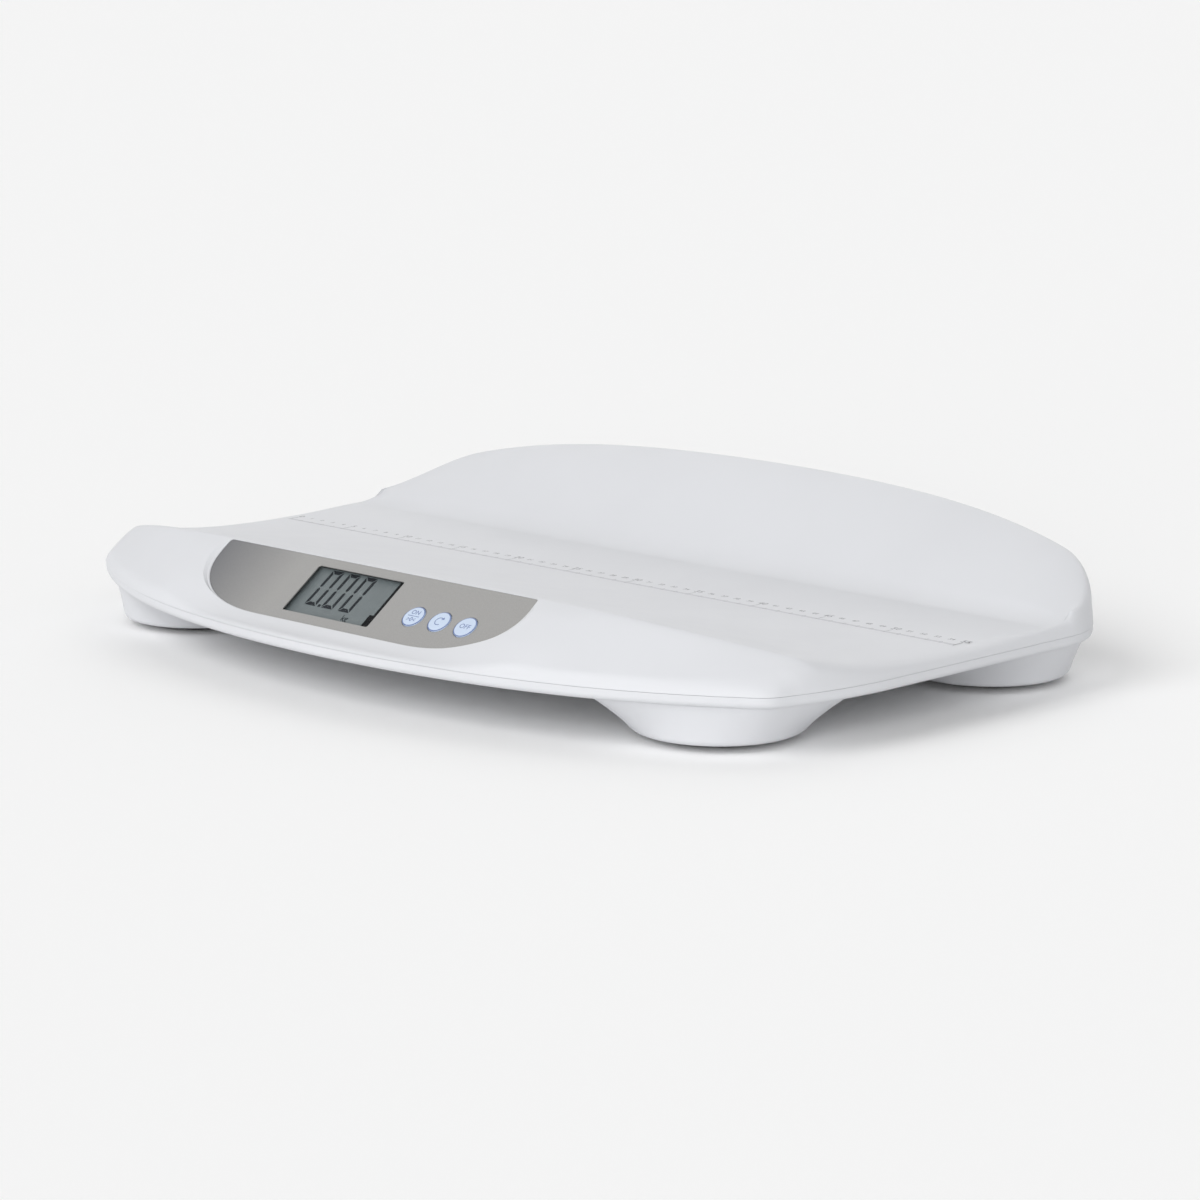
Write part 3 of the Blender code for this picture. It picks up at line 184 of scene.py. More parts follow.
# Mask, digits and unit behind the window, in the panel's frame
MASK_RIM = 0.0004
MASK_RIGHT = 0.0214
MASK_TOP = -0.0062
MASK_NOTCH = (0.0184, -0.0330)
DIGITS_START = (-0.0363, -0.0342)
DIGIT_BAR = 0.0026
DIGIT_STILE = 0.0021
DIGIT_GAP = 0.0003
DIGIT_LEAN = 0.03
DIGIT_LIFT = 0.00001
DIGIT_TOP = 0.0001
POINT_SIZE = 0.0019
POINT_LEAD = 0.0016
UNIT_MIDDLE = (0.0018, -0.0385)
UNIT_HEIGHT = 0.0058

# Marks on the caps
WORD_HEIGHT = 0.0042
LONE_WORD_HEIGHT = 0.0046
WORD_OFFSET = 0.0026
DIVIDER = (0.0042, 0.0002)
ARROW_RADIUS = 0.0026
ARROW_WIDTH = 0.0005
ARROW_START, ARROW_SWEEP = 60, 250
ARROW_STEPS = 20
ARROW_WING = 0.0012
ARROW_TIP = (0.0015, -0.0004)

# Ruler, on the tray floor
RULER_START = (-0.273, 0.0302)
RULER_PRINT = 0.00005
RULER_LINE_PRINT = 0.00004
RULER_LINE_SINK = 0.0001
TICK_SHORT = 0.0035
TICK_LONG = 0.0085
TICK_WIDTH = 0.0004
NUMBER_DISTANCE = 0.0115
SMALL_NUMBER_DISTANCE = 0.0113
SMALL_NUMBER_SHARE = 0.68
TRAY_TINT = (0.75, 0.75, 0.76)

# Feet and screws
TREAD_RELIEF = 0.0006
FIRST_TREAD = 0.005
FOOT_TOP_EDGE = 0.0004
FOOT_EDGE = 0.0009
SCREW_HEAD = 0.0021
SCREW_SHANK = 0.0015
SCREW_SLOT = (0.0007, 0.0034)
SCREW_TAPER = 0.72

# Counts of facets in the fine pieces
MIDDLE_COLUMNS = 44
CORNER_COLUMNS = 22
ROW_COUNTS = (12, 3, 3, 20, 8, 10, 24)
RIDGE_HALF_BAND = 0.003
EDGE_STEPS = 8
END_STEPS = 30
FLARE_STEPS = 24
HOLLOW_EDGE_STEPS = 2
PANEL_STEPS = 30
POD_FACETS = 96
ROUND_FACETS = 64
ROUND_STEPS = 5
CORNER_PASSES = 6

# Sharpest angles, in degrees, that are shaded as smooth
CASING_CREASE = 32
SMALL_CREASE = 30
FOOT_CREASE = 40

# Sizes that follow from the ones above
HALF_LENGTH = LENGTH / 2
HALF_DEPTH = DEPTH / 2
RIDGE_Y = RIDGE_SETBACK - HALF_DEPTH
PROBE = WALL / 4
PANEL_BOTTOM = -PANEL_SINK - PANEL_THICKNESS
LENS_TOP = PANEL_BOTTOM - FIT_GAP
LENS_BOTTOM = LENS_TOP - LENS_THICKNESS
GASKET_TOP = LENS_BOTTOM - FIT_GAP
GASKET_BOTTOM = GASKET_TOP - GASKET_THICKNESS
GLASS_TOP = GASKET_BOTTOM - FIT_GAP
FLANGE_TOP = -WALL - FIT_GAP
PANEL_FRAME = Matrix.Translation((0, RIDGE_Y, RIDGE_HEIGHT)) @ Matrix.Rotation(APRON_TILT, 4, "X")

# Soft lamps: angle round the scale, angle above the floor, strength and spread, with angles in degrees
LAMPS = {
    "front_right_light": (-60, 12, 0.60, 40),
    "front_left_light": (-105, 40, 0.38, 40),
    "left_light": (-150, 12, 0.11, 90),
    "right_light": (5, 15, 0.20, 90),
    "back_low_light": (90, 15, 0.17, 90),
    "back_light": (130, 40, 0.22, 60),
}

# Floor, and the camera that was fitted to the photograph
FLOOR_REACH = 12.0
CAMERA_LENS = 118.12
CAMERA_PLACE = (1.61197, -1.59327, 0.48689)
CAMERA_AIM = (-0.6891, 0.6972, -0.1976)


# Mesh helpers

def add_piece(name, mesh, material=None):
    piece = bpy.data.objects.new(name, mesh)
    bpy.context.scene.collection.objects.link(piece)
    if material:
        mesh.materials.clear()
        mesh.materials.append(material)
    return piece


def mesh_from(bm, name, place=None):
    bmesh.ops.recalc_face_normals(bm, faces=bm.faces)
    mesh = bpy.data.meshes.new(name)
    bm.to_mesh(mesh)
    bm.free()
    if place is not None:
        mesh.transform(place)
    return mesh


def lofted(name, rings, place=None):
    """A closed solid through rings of points, with flat ends."""
    bm = bmesh.new()
    loops = [[bm.verts.new(point) for point in ring] for ring in rings]
    count = len(rings[0])
    for lower, upper in zip(loops, loops[1:]):
        for i in range(count):
            j = (i + 1) % count
            bm.faces.new((lower[i], lower[j], upper[j], upper[i]))
    bm.faces.new(loops[0])
    bm.faces.new(loops[-1])
    return mesh_from(bm, name, place)


def prism(name, outline, low, high, place=None):
    """A straight-sided solid over an outline."""
    return lofted(name, [[(x, y, z) for x, y in outline] for z in (low, high)], place)


def plate(name, outline, levels):
    """A plate of the panel, whose outline, a function of an offset, is drawn at each (offset, height)."""
    rings = [[(x, y, height) for x, y in outline(offset)] for offset, height in levels]
    return lofted(name, rings, PANEL_FRAME)


def rectangle(left, low, right, high):
    return [(left, low), (right, low), (right, high), (left, high)]


def quarter_round(radius):
    """How far each point of a rounded edge lies in from its side and from its top."""
    turns = [math.pi / 2 * i / ROUND_STEPS for i in range(ROUND_STEPS + 1)]
    return [(radius * (1 - math.cos(a)), radius * (1 - math.sin(a))) for a in turns]


def rounded_levels(low, high, radius):
    """Levels of a plate with a rounded upper edge."""
    return [(0, low)] + [(-side, high - top) for side, top in quarter_round(radius)]


def flared_levels(low, high, radius):
    """Levels of a cutter that leaves a rounded edge round its hole at the height."""
    flare = [(side, high - top) for side, top in quarter_round(radius)]
    return [(0, low)] + flare + [(radius, high + CUT_OVERRUN)]


def turned(name, profile, facets, centre, place=Matrix.Identity(4)):
    """A profile of (radius, height) from axis to axis, turned about an upright axis."""
    bm = bmesh.new()
    rings = []
    for radius, height in profile:
        if radius:
            rings.append([bm.verts.new((radius * math.cos(2 * math.pi * i / facets),
                                        radius * math.sin(2 * math.pi * i / facets), height))
                          for i in range(facets)])
        else:
            rings.append([bm.verts.new((0, 0, height))] * facets)
    for upper, lower in zip(rings, rings[1:]):
        for i in range(facets):
            j = (i + 1) % facets
            corners = dict.fromkeys((upper[i], upper[j], lower[j], lower[i]))
            if len(corners) > 2:
                bm.faces.new(list(corners))
    bmesh.ops.remove_doubles(bm, verts=bm.verts, dist=PROBE / 1000)
    return mesh_from(bm, name, place @ Matrix.Translation((*centre, 0)))


def applied(piece):
    """Bakes a piece's modifiers into a plain mesh."""
    graph = bpy.context.evaluated_depsgraph_get()
    mesh = bpy.data.meshes.new_from_object(piece.evaluated_get(graph))
    piece.modifiers.clear()
    piece.data = mesh
    return piece


def combined(piece, meshes, operation="DIFFERENCE"):
    """Cuts solids out of a piece, or adds them to it, one after another."""
    tools = [add_piece("tool", mesh) for mesh in meshes]
    for tool in tools:
        step = piece.modifiers.new("combine", "BOOLEAN")
        step.operation = operation
        step.solver = "EXACT"
        step.object = tool
    applied(piece)
    for tool in tools:
        bpy.data.objects.remove(tool)
    return piece


def smooth(piece, angle):
    piece.data.shade_smooth()
    piece.data.set_sharp_from_angle(angle=math.radians(angle))
    return piece


def weighted(piece):
    """Smooths a piece, and keeps broad faces flat where they meet small rounds."""
    smooth(piece, CASING_CREASE)
    piece.modifiers.new("weighted", "WEIGHTED_NORMAL").keep_sharp = True
    return applied(piece)


def circle_outline(radius, centre):
    def outline(offset):
        angles = [2 * math.pi * i / ROUND_FACETS for i in range(ROUND_FACETS)]
        return [(centre[0] + (radius + offset) * math.cos(a), centre[1] + (radius + offset) * math.sin(a))
                for a in angles]
    return outline


def rounded_box_outline(low, high, corner):
    def outline(offset):
        points = []
        x0, y0, x1, y1 = low[0] - offset, low[1] - offset, high[0] + offset, high[1] + offset
        radius = max(corner + offset, corner / 4)
        centres = [(x1 - radius, y1 - radius), (x0 + radius, y1 - radius),
                   (x0 + radius, y0 + radius), (x1 - radius, y0 + radius)]
        for quarter, (cx, cy) in enumerate(centres):
            for i in range(ROUND_STEPS + 1):
                a = math.pi / 2 * (quarter + i / ROUND_STEPS)
                points.append((cx + radius * math.cos(a), cy + radius * math.sin(a)))
        return points
    return outline


def lettering(name, text, height, centre, thickness, place, material):
    """Plain raised characters, centred on a point of a frame."""
    curve = bpy.data.curves.new(name, "FONT")
    curve.body = text
    curve.size = height
    curve.align_x = "CENTER"
    curve.align_y = "CENTER"
    curve.extrude = thickness / 2
    guide = bpy.data.objects.new(name, curve)
    bpy.context.scene.collection.objects.link(guide)
    bpy.context.view_layer.update()
    mesh = bpy.data.meshes.new_from_object(guide.evaluated_get(bpy.context.evaluated_depsgraph_get()))
    bpy.data.objects.remove(guide)
    mesh.transform(place @ Matrix.Translation((centre[0], centre[1], centre[2] + thickness / 2)))
    return add_piece(name, mesh, material)


def joined(name, pieces):
    """Several pieces of one material as one mesh."""
    bm = bmesh.new()
    for piece in pieces:
        bm.from_mesh(piece.data)
    material = pieces[0].data.materials[0]
    mesh = bpy.data.meshes.new(name)
    bm.to_mesh(mesh)
    bm.free()
    for piece in pieces:
        bpy.data.objects.remove(piece)
    return add_piece(name, mesh, material)


# The casing's surface

def smooth_step(share):
    share = min(max(share, 0.0), 1.0)
    return share * share * (3 - 2 * share)


def soft_maximum(a, b, blend):
    return (a + b + math.hypot(a - b, blend)) / 2


def bow_depth(x, bow, late_bow):
    reach = x / HALF_LENGTH
    return bow * reach ** 2 + late_bow * reach ** 4


def bow_slope(x, bow, late_bow):
    reach = x / HALF_LENGTH
    return (2 * bow * reach + 4 * late_bow * reach ** 3) / HALF_LENGTH


def drawn_in(x, bow, late_bow, radius, inset):
    """How far an edge lies in from its middle line at x, round the corner too."""
    x = abs(x)
    half = HALF_LENGTH - inset
    radius = radius - inset
    start = half - radius
    for _ in range(CORNER_PASSES):
        angle = math.atan(bow_slope(start, bow, late_bow))
        start = half - radius * (1 - math.sin(angle))
    at = min(x, start)
    depth = bow_depth(at, bow, late_bow) + inset * math.hypot(1, bow_slope(at, bow, late_bow))
    if x <= start:
        return depth
    centre = depth + radius * math.cos(angle)
    return centre - math.sqrt(max(radius ** 2 - (x - half + radius) ** 2, 0.0))


def front_edge(x, inset):
    return drawn_in(x, FRONT_BOW, FRONT_LATE_BOW, FRONT_CORNER_RADIUS, inset) - HALF_DEPTH


def back_edge(x, inset, end_inset):
    extra = inset - end_inset
    return HALF_DEPTH - extra - drawn_in(x, BACK_BOW, BACK_LATE_BOW, BACK_CORNER_RADIUS, end_inset)


def column_shares():
    """Places along the length as shares of its half, closer together round the corners."""
    corner = 1 - BACK_CORNER_RADIUS / HALF_LENGTH
    middle = [corner * i / MIDDLE_COLUMNS for i in range(MIDDLE_COLUMNS + 1)]
    turn = [math.sin(math.pi / 2 * i / CORNER_COLUMNS) for i in range(1, CORNER_COLUMNS + 1)]
    half = middle + [corner + (1 - corner) * share for share in turn]
    return [-share for share in reversed(half[1:])] + half


def bowed(share, x, y):
    """A point of the outline, moved in where the ends draw in towards the front."""
    near = max(abs(share) - END_BOW_FIRST_SHARE, 0.0) / (1 - END_BOW_FIRST_SHARE)
    ahead = max(END_BOW_Y - y, 0.0) / END_BOW_LENGTH
    return x - math.copysign(END_BOW * (near * ahead) ** 2, x), y


def edge_places(inset):
    """The front and back edges' points, from left to right."""
    half = HALF_LENGTH - inset
    places = [(share, share * half) for share in column_shares()]
    front = [bowed(share, x, front_edge(x, inset)) for share, x in places]
    return front, [(x, back_edge(x, inset, inset)) for _, x in places]


def plan_loop(inset):
    """The plan outline drawn in by an inset, round from the front's left end."""
    front, back = edge_places(inset)
    low, high = front[-1][1], back[-1][1]
    ends = [low + (high - low) * i / END_STEPS for i in range(1, END_STEPS)]
    right = [bowed(1, HALF_LENGTH - inset, y) for y in ends]
    return front + right + back[::-1] + [(-x, y) for x, y in reversed(right)]


def reach_to(loop, x, y, angle):
    """How far an outline lies from a point inside it, in one direction."""
    across, ahead = math.cos(angle), math.sin(angle)
    for (ax, ay), (bx, by) in zip(loop, loop[1:] + loop[:1]):
        before = across * (ay - y) - ahead * (ax - x)
        after = across * (by - y) - ahead * (bx - x)
        if before <= 0 < after:
            share = before / (before - after)
            return across * (ax + (bx - ax) * share - x) + ahead * (ay + (by - ay) * share - y)


def plan_solid(name, levels):
    return lofted(name, [[(x, y, z) for x, y in plan_loop(inset)] for inset, z in levels])


def ridge_at(x):
    past = max(abs(x) - FLAT_HALF_LENGTH, 0.0) / (HALF_LENGTH - FLAT_HALF_LENGTH)
    return RIDGE_Y + RIDGE_END_SETBACK * past ** 2, RIDGE_HEIGHT - RIDGE_END_DROP * past ** 2


def apron_height(x, y):
    ridge_y, ridge_z = ridge_at(x)
    edge_y = front_edge(x, 0)
    late = (ridge_z - SEAM - APRON_FOOT) / (ridge_y - edge_y)
    blend = smooth_step((abs(x) - FLAT_HALF_LENGTH) / FLAT_BLEND_LENGTH)
    steep = math.tan(APRON_TILT) * (1 - blend) + late * blend
    plane = ridge_z - steep * (ridge_y - y)
    lip = SEAM + LIP_HEIGHT + LIP_RISE_SHARE * (y - edge_y)
    down = (ridge_y - y) / (ridge_y - edge_y)
    near = 1 - abs(abs(x) - RECESS_END_X) / RECESS_END_REACH
    shares = (near * RECESS_END_SPREAD, down * RECESS_TOP_ONSET, (1 - down) * RECESS_FOOT_ONSET)
    rise = RECESS_END_RISE * math.prod(smooth_step(share) for share in shares)
    return soft_maximum(plane + rise, lip, LIP_BLEND)


def slope_height(x, y):
    ridge_y, ridge_z = ridge_at(x)
    climb = (CREASE_Y - y) / (CREASE_Y - ridge_y)
    hollow = 1 - (x / HALF_LENGTH) ** 4 * (1 - climb)
    return TRAY_FLOOR + (ridge_z - TRAY_FLOOR) * (climb + climb ** 2) / 2 * hollow


def end_fade(x):
    start = HALF_LENGTH - END_FADE_LENGTH
    past = max(abs(x) - start, 0.0) / (END_FADE_LENGTH + END_FADE_OVERRUN)
    return max(1 - past ** END_FADE_CURVE, 0.0) ** END_FADE_FALL


def wall_height(x, y):
    fade = end_fade(x)
    foot = TRAY_FLOOR + WALL_FOOT_RISE * fade
    if y < WALL_FOOT_Y:
        climb = max(y - COVE_Y, 0.0) / (WALL_FOOT_Y - COVE_Y)
        return TRAY_FLOOR + (foot - TRAY_FLOOR) * climb ** 2
    crest_y = back_edge(x, CREST_INSET, EDGE_INSET)
    crest = HEIGHT - bow_depth(x, CREST_BOW, CREST_LATE_BOW)
    crest = TRAY_FLOOR + (crest - TRAY_FLOOR) * fade
    climb = min((y - WALL_FOOT_Y) / (crest_y - WALL_FOOT_Y), 1.0)
    return foot + (crest - foot) * (1 - (1 - climb) ** WALL_CURVE)


def surface_height(x, y):
    if y < CREASE_Y:
        return -soft_maximum(-apron_height(x, y), -slope_height(x, y), RIDGE_BLEND)
    return wall_height(x, y)


def lowered_height(x, y, thickness):
    if not thickness:
        return surface_height(x, y)
    along = (surface_height(x + PROBE, y) - surface_height(x - PROBE, y)) / (2 * PROBE)
    across = (surface_height(x, y + PROBE) - surface_height(x, y - PROBE)) / (2 * PROBE)
    return surface_height(x, y) - thickness * math.sqrt(1 + along ** 2 + across ** 2)


def row_places(x, front, back):
    ridge_y = max(ridge_at(x)[0], front + RIDGE_HALF_BAND + PROBE)
    cove_depth = WALL_FOOT_Y - COVE_Y
    foot = min(WALL_FOOT_Y, back - cove_depth / 4)
    cove = min(COVE_Y, foot - cove_depth)
    stops = [front, ridge_y - RIDGE_HALF_BAND, ridge_y, ridge_y + RIDGE_HALF_BAND, CREASE_Y, cove, foot, back]
    rows = [front]
    for low, high, count in zip(stops, stops[1:], ROW_COUNTS):
        rows += [low + (high - low) * i / count for i in range(1, count + 1)]
    return rows


def column_points(share, inset, thickness, base):
    """A column of the surface's points. It swings in from the end where the flank is rounder."""
    outer_x = share * (HALF_LENGTH - EDGE_INSET - inset)
    near = max(abs(share) - END_ROUND_FIRST_SHARE, 0.0) / (1 - END_ROUND_FIRST_SHARE)
    swing = math.copysign(END_ROUND * near ** 2, share)
    front = front_edge(outer_x - swing, EDGE_INSET + inset + abs(swing) * END_ROUND_FRONT_SHARE)
    back = back_edge(outer_x, CREST_INSET + inset, EDGE_INSET + inset)
    points = []
    for y in row_places(outer_x - swing, front, back):
        x = outer_x - swing * (1 - smooth_step((y - CREASE_Y) / (COVE_Y - CREASE_Y)))
        points.append(Vector((x, y, max(lowered_height(x, y, thickness), base + PROBE))))
    return points


def border_pairs(grid, inset):
    """The surface's border points round from the front's left end, each with its outline point."""
    fronts, backs = edge_places(inset)
    low, high = fronts[0][1], backs[0][1]

    def end_pairs(column, x):
        first, last = column[0].y, column[-1].y
        stretch = (high - low) / (last - first)
        return [(point, bowed(1, x, low + (point.y - first) * stretch)) for point in column[1:-1]]

    pairs = [(column[0], outer) for column, outer in zip(grid, fronts)]
    pairs += end_pairs(grid[-1], HALF_LENGTH - inset)
    pairs += [(column[-1], outer) for column, outer in reversed(list(zip(grid, backs)))]
    return pairs + end_pairs(grid[0], inset - HALF_LENGTH)[::-1]


def edge_ring_points(inner, outer, base, thickness, steps):
    """From the base up the flank and round the edge, to just outside an inner border point."""
    step = Vector((inner.x - outer[0], inner.y - outer[1]))
    width = step.length
    inwards = step.normalized()
    probe = inwards * PROBE
    rise = lowered_height(inner.x + probe.x, inner.y + probe.y, thickness) - inner.z
    rise = min(max(rise / PROBE, 0.0), MOST_FLANK_RISE)
    lean = min(FLANK_LEAN, FLANK_LEAN_SHARE * width)
    knee = max(inner.z - rise * (width - lean), base + (inner.z - base) * LEAST_KNEE_SHARE)
    foot = Vector((outer[0], outer[1], base))
    corner = Vector((outer[0] + lean * inwards.x, outer[1] + lean * inwards.y, knee))
    round_share = min(max(EDGE_ROUND, width * WIDE_ROUND_SHARE) / (knee - base), MOST_ROUND_SHARE)
    start = corner + (foot - corner) * round_share
    points = [foot]
    if not thickness:
        tuck = Vector((inwards.x, inwards.y, 0)) * EDGE_BREAK
        points = [foot + tuck, foot + Vector((0, 0, EDGE_BREAK))]
    points.append(start)
    for i in range(1, steps):
        t = i / steps
        points.append(start * (1 - t) ** 2 + corner * 2 * t * (1 - t) + inner * t ** 2)
    return points


def shell_solid(name, inset, thickness, base, steps):
    """The body under the upper surface, drawn in by an inset and lowered by a thickness."""
    grid = [column_points(share, inset, thickness, base) for share in column_shares()]
    bm = bmesh.new()
    verts = [[bm.verts.new(point) for point in column] for column in grid]
    for left, right in zip(verts, verts[1:]):
        for i in range(len(left) - 1):
            bm.faces.new((left[i], right[i], right[i + 1], left[i + 1]))
    inner = [column[0] for column in verts] + verts[-1][1:-1]
    inner += [column[-1] for column in reversed(verts)] + verts[0][-2:0:-1]
    flank = []
    for vert, (point, outer) in zip(inner, border_pairs(grid, inset)):
        ring = edge_ring_points(point, outer, base, thickness, steps)
        flank.append([bm.verts.new(place) for place in ring] + [vert])
    for here, there in zip(flank, flank[1:] + flank[:1]):
        for k in range(len(here) - 1):
            bm.faces.new((here[k], there[k], there[k + 1], here[k + 1]))
    bm.faces.new([points[0] for points in flank])
    return mesh_from(bm, name)


def pod_mesh(x, y):
    """A foot's drum. It flares out to the casing's underside, or as far as the casing's rim allows."""
    angles = [2 * math.pi * i / POD_FACETS for i in range(POD_FACETS)]
    rim = plan_loop(POD_FLARE_INSET)
    most = POD_RADIUS + POD_FLARE
    reaches = [-soft_maximum(-most, -reach_to(rim, x, y, angle), POD_BLEND) for angle in angles]
    side = POD_BOTTOM + POD_EDGE
    levels = [(top, POD_BOTTOM + edge) for edge, top in quarter_round(POD_EDGE)[:-1]]
    levels += [(0, side + (UNDERSIDE - side) * i / FLARE_STEPS) for i in range(FLARE_STEPS + 1)]
    levels.append((0, UNDERSIDE + WALL / 2))
    rings = []
    for inset, z in levels:
        flare = min((z - POD_BOTTOM) / (UNDERSIDE - POD_BOTTOM), 1.0) ** POD_FLARE_CURVE
        radii = [POD_RADIUS + (reach - POD_RADIUS) * flare - inset for reach in reaches]
        rings.append([(x + r * math.cos(a), y + r * math.sin(a), z) for r, a in zip(radii, angles)])
    return lofted("pod", rings)


def panel_outline(offset):
    """The panel's outline: straight along the top, with swept sides and a flat foot."""
    top = -PANEL_TOP_DROP + offset
    shoulder = -PANEL_TOP_DROP - PANEL_SHOULDER
    foot = -PANEL_TOP_DROP - PANEL_HEIGHT - offset
    sweep_x = PANEL_HALF_LENGTH - PANEL_HALF_FLAT + offset
    sweep_y = shoulder - foot
    right = [(PANEL_HALF_FLAT, foot)]
    for i in range(1, PANEL_STEPS + 1):
        angle = math.pi / 2 * i / PANEL_STEPS
        across = math.sin(angle) ** (2 / PANEL_CURVE)
        down = math.cos(angle) ** (2 / PANEL_CURVE) if i < PANEL_STEPS else 0.0
        right.append((PANEL_HALF_FLAT + sweep_x * across, shoulder - sweep_y * down))
    corner = PANEL_SHOULDER / 4
    side = PANEL_HALF_LENGTH + offset
    right += [(side - across, top - down) for across, down in quarter_round(corner)]
    return right + [(-x, y) for x, y in reversed(right)]


def window_outline(overlap, corner):
    left = WINDOW_X - WINDOW_LENGTH / 2 - overlap
    right = WINDOW_X + WINDOW_LENGTH / 2 + overlap
    return rounded_box_outline((left, -WINDOW_DROP - WINDOW_HEIGHT - overlap),
                               (right, -WINDOW_DROP + overlap), corner)


def button_places():
    names = ("tare", "recall", "off")
    return {name: (BUTTON_FIRST_X + BUTTON_PITCH * i, -BUTTON_DROP) for i, name in enumerate(names)}


def button_cutters(levels):
    """Cutters for the button holes, drawn at each (offset, height) level."""
    outlines = [circle_outline(BUTTON_RADIUS + FIT_GAP, place) for place in button_places().values()]
    return [plate("button_hole", outline, levels) for outline in outlines]


def round_part(node):
    """The middle, radius, foot and top of a round CAD node."""
    low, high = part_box(node)
    middle = (low + high) / 2
    return (middle.x, middle.y), (high.x - low.x) / 2, low.z, high.z


def screw_parts():
    return [round_part("casing_screw_%d" % i) for i in range(1, 7)]


# Materials

class Nodes:
    """Adds nodes to a tree. A socket is called by its name, or by its number as in i0."""

    def __init__(self, tree):
        self.tree = tree

    def feed(self, socket, value):
        """Links a socket to an output, or sets its own value."""
        if isinstance(value, bpy.types.NodeSocket):
            self.tree.links.new(value, socket)
        elif socket.type == "RGBA":
            socket.default_value = (*value[:3], 1.0)
        else:
            socket.default_value = value

    def node(self, kind, settings=None, **sockets):
        made = self.tree.nodes.new(kind)
        for name, value in (settings or {}).items():
            setattr(made, name, value)
        for name, value in sockets.items():
            numbered = name[0] == "i" and name[1:].isdigit()
            self.feed(made.inputs[int(name[1:]) if numbered else name.replace("_", " ")], value)
        return made

    def out(self, kind, settings=None, **sockets):
        """The first output of a new node."""
        return self.node(kind, settings, **sockets).outputs[0]

    def maths(self, operation, first, second=0.0):
        return self.out("ShaderNodeMath", {"operation": operation}, i0=first, i1=second)

    def vector(self, x=0.0, y=0.0, z=0.0):
        return self.out("ShaderNodeCombineXYZ", X=x, Y=y, Z=z)


class Finish(Nodes):
    """A node material around one Principled shader, with short ways to add texture to it."""

    def __init__(self, name, colour, roughness, **constants):
        self.material = bpy.data.materials.new(name)
        self.material.use_nodes = True
        super().__init__(self.material.node_tree)
        self.shader = self.tree.nodes["Principled BSDF"].inputs
        self.coords = self.node("ShaderNodeTexCoord").outputs["Object"]
        self.feed(self.shader["Base Color"], colour)
        self.feed(self.shader["Roughness"], roughness)
        for socket, value in constants.items():
            self.feed(self.shader[socket.replace("_", " ")], value)

    def noise(self, scale, detail=2.0, stretch=None):
        vector = self.coords
        if stretch:
            vector = self.out("ShaderNodeMapping", Vector=vector, Scale=stretch)
        return self.out("ShaderNodeTexNoise", Vector=vector, Scale=scale, Detail=detail)

    def span(self, value, low, high, start=0.3, end=0.7):
        """Maps a noise to a range."""
        return self.out("ShaderNodeMapRange", Value=value, From_Min=start, From_Max=end,
                        To_Min=low, To_Max=high)

    def mix(self, factor, first, second):
        mixer = self.node("ShaderNodeMix", {"data_type": "RGBA"}, Factor=factor, i6=first, i7=second)
        return mixer.outputs[2]

    def colour(self, socket):
        self.feed(self.shader["Base Color"], socket)

    def rough(self, scale, low, high):
        """Lets the roughness drift with a noise."""
        self.feed(self.shader["Roughness"], self.span(self.noise(scale), low, high))

    def bump(self, height, distance, strength=1.0):
        """Adds a bump on top of those before it."""
        made = self.node("ShaderNodeBump", Height=height, Distance=distance, Strength=strength)
        for link in list(self.shader["Normal"].links):
            self.feed(made.inputs["Normal"], link.from_socket)
        self.feed(self.shader["Normal"], made.outputs[0])


def shade(colour, factor):
    return tuple(min(channel * factor, 1.0) for channel in colour[:3])


def moulded_plastic(name, colour, roughness, grain=1500.0, depth=0.00002):
    """Moulded plastic: a fine satin grain, a faint waviness, and gloss that drifts a little."""
    finish = Finish(name, colour, roughness, Specular_IOR_Level=0.3)
    drift = finish.noise(9.0)
    finish.colour(finish.mix(finish.span(drift, 0.0, 1.0), shade(colour, 0.985), shade(colour, 1.015)))
    finish.rough(38.0, roughness - 0.03, roughness + 0.03)
    finish.bump(finish.noise(grain, 1.0), depth, 0.5)
    finish.bump(finish.noise(55.0, 1.0), 0.00004, 0.25)
    return finish.material


def silver_film(name, colour, painted_shade, roughness):
    """Printed silver film: fine metallic flake over a clear coat, with painted shade that darkens it towards
    its left end, in place of a darker reflection there.
    """
    finish = Finish(name, colour, roughness, Metallic=0.55, Coat_Weight=0.25, Coat_Roughness=0.25)
    flake = finish.noise(2600.0, 1.0)
    along = finish.out("ShaderNodeSeparateXYZ", Vector=finish.coords)
    # Painted shade: the film's colour darkens towards its left end, standing in for the darker reflection
    # there.
    painted_shade_tint = finish.mix(finish.span(along, 0.0, 1.0, -PANEL_HALF_LENGTH, -PANEL_HALF_FLAT), painted_shade, colour)
    speckle = finish.span(flake, 0.92, 1.08)
    finish.colour(finish.out("ShaderNodeVectorMath", {"operation": "MULTIPLY"}, i0=painted_shade_tint, i1=speckle))
    finish.rough(30.0, roughness - 0.03, roughness + 0.03)
    finish.bump(flake, 0.00001, 0.3)
    return finish.material


def liquid_crystal(name, colour):
    """The display's grey-green ground, with the faint clouding of its reflector."""
    finish = Finish(name, colour, 0.35, Specular_IOR_Level=0.3)
    cloud = finish.span(finish.noise(70.0, 3.0, (1.0, 2.2, 1.0)), 0.0, 1.0)
    finish.colour(finish.mix(cloud, shade(colour, 0.93), shade(colour, 1.06)))
    finish.bump(finish.noise(3500.0, 1.0), 0.00001, 0.2)
    return finish.material


def printed_ink(name, colour, background, thinnest=0.25, gloss=0.5):
    """Screen-printed ink that lets a little of its ground through."""
    finish = Finish(name, colour, 0.5, Specular_IOR_Level=gloss)
    thin = finish.span(finish.noise(900.0), 0.0, thinnest)
    finish.colour(finish.mix(thin, colour, background))
    finish.bump(finish.noise(2500.0), 0.00001, 0.3)
    return finish.material


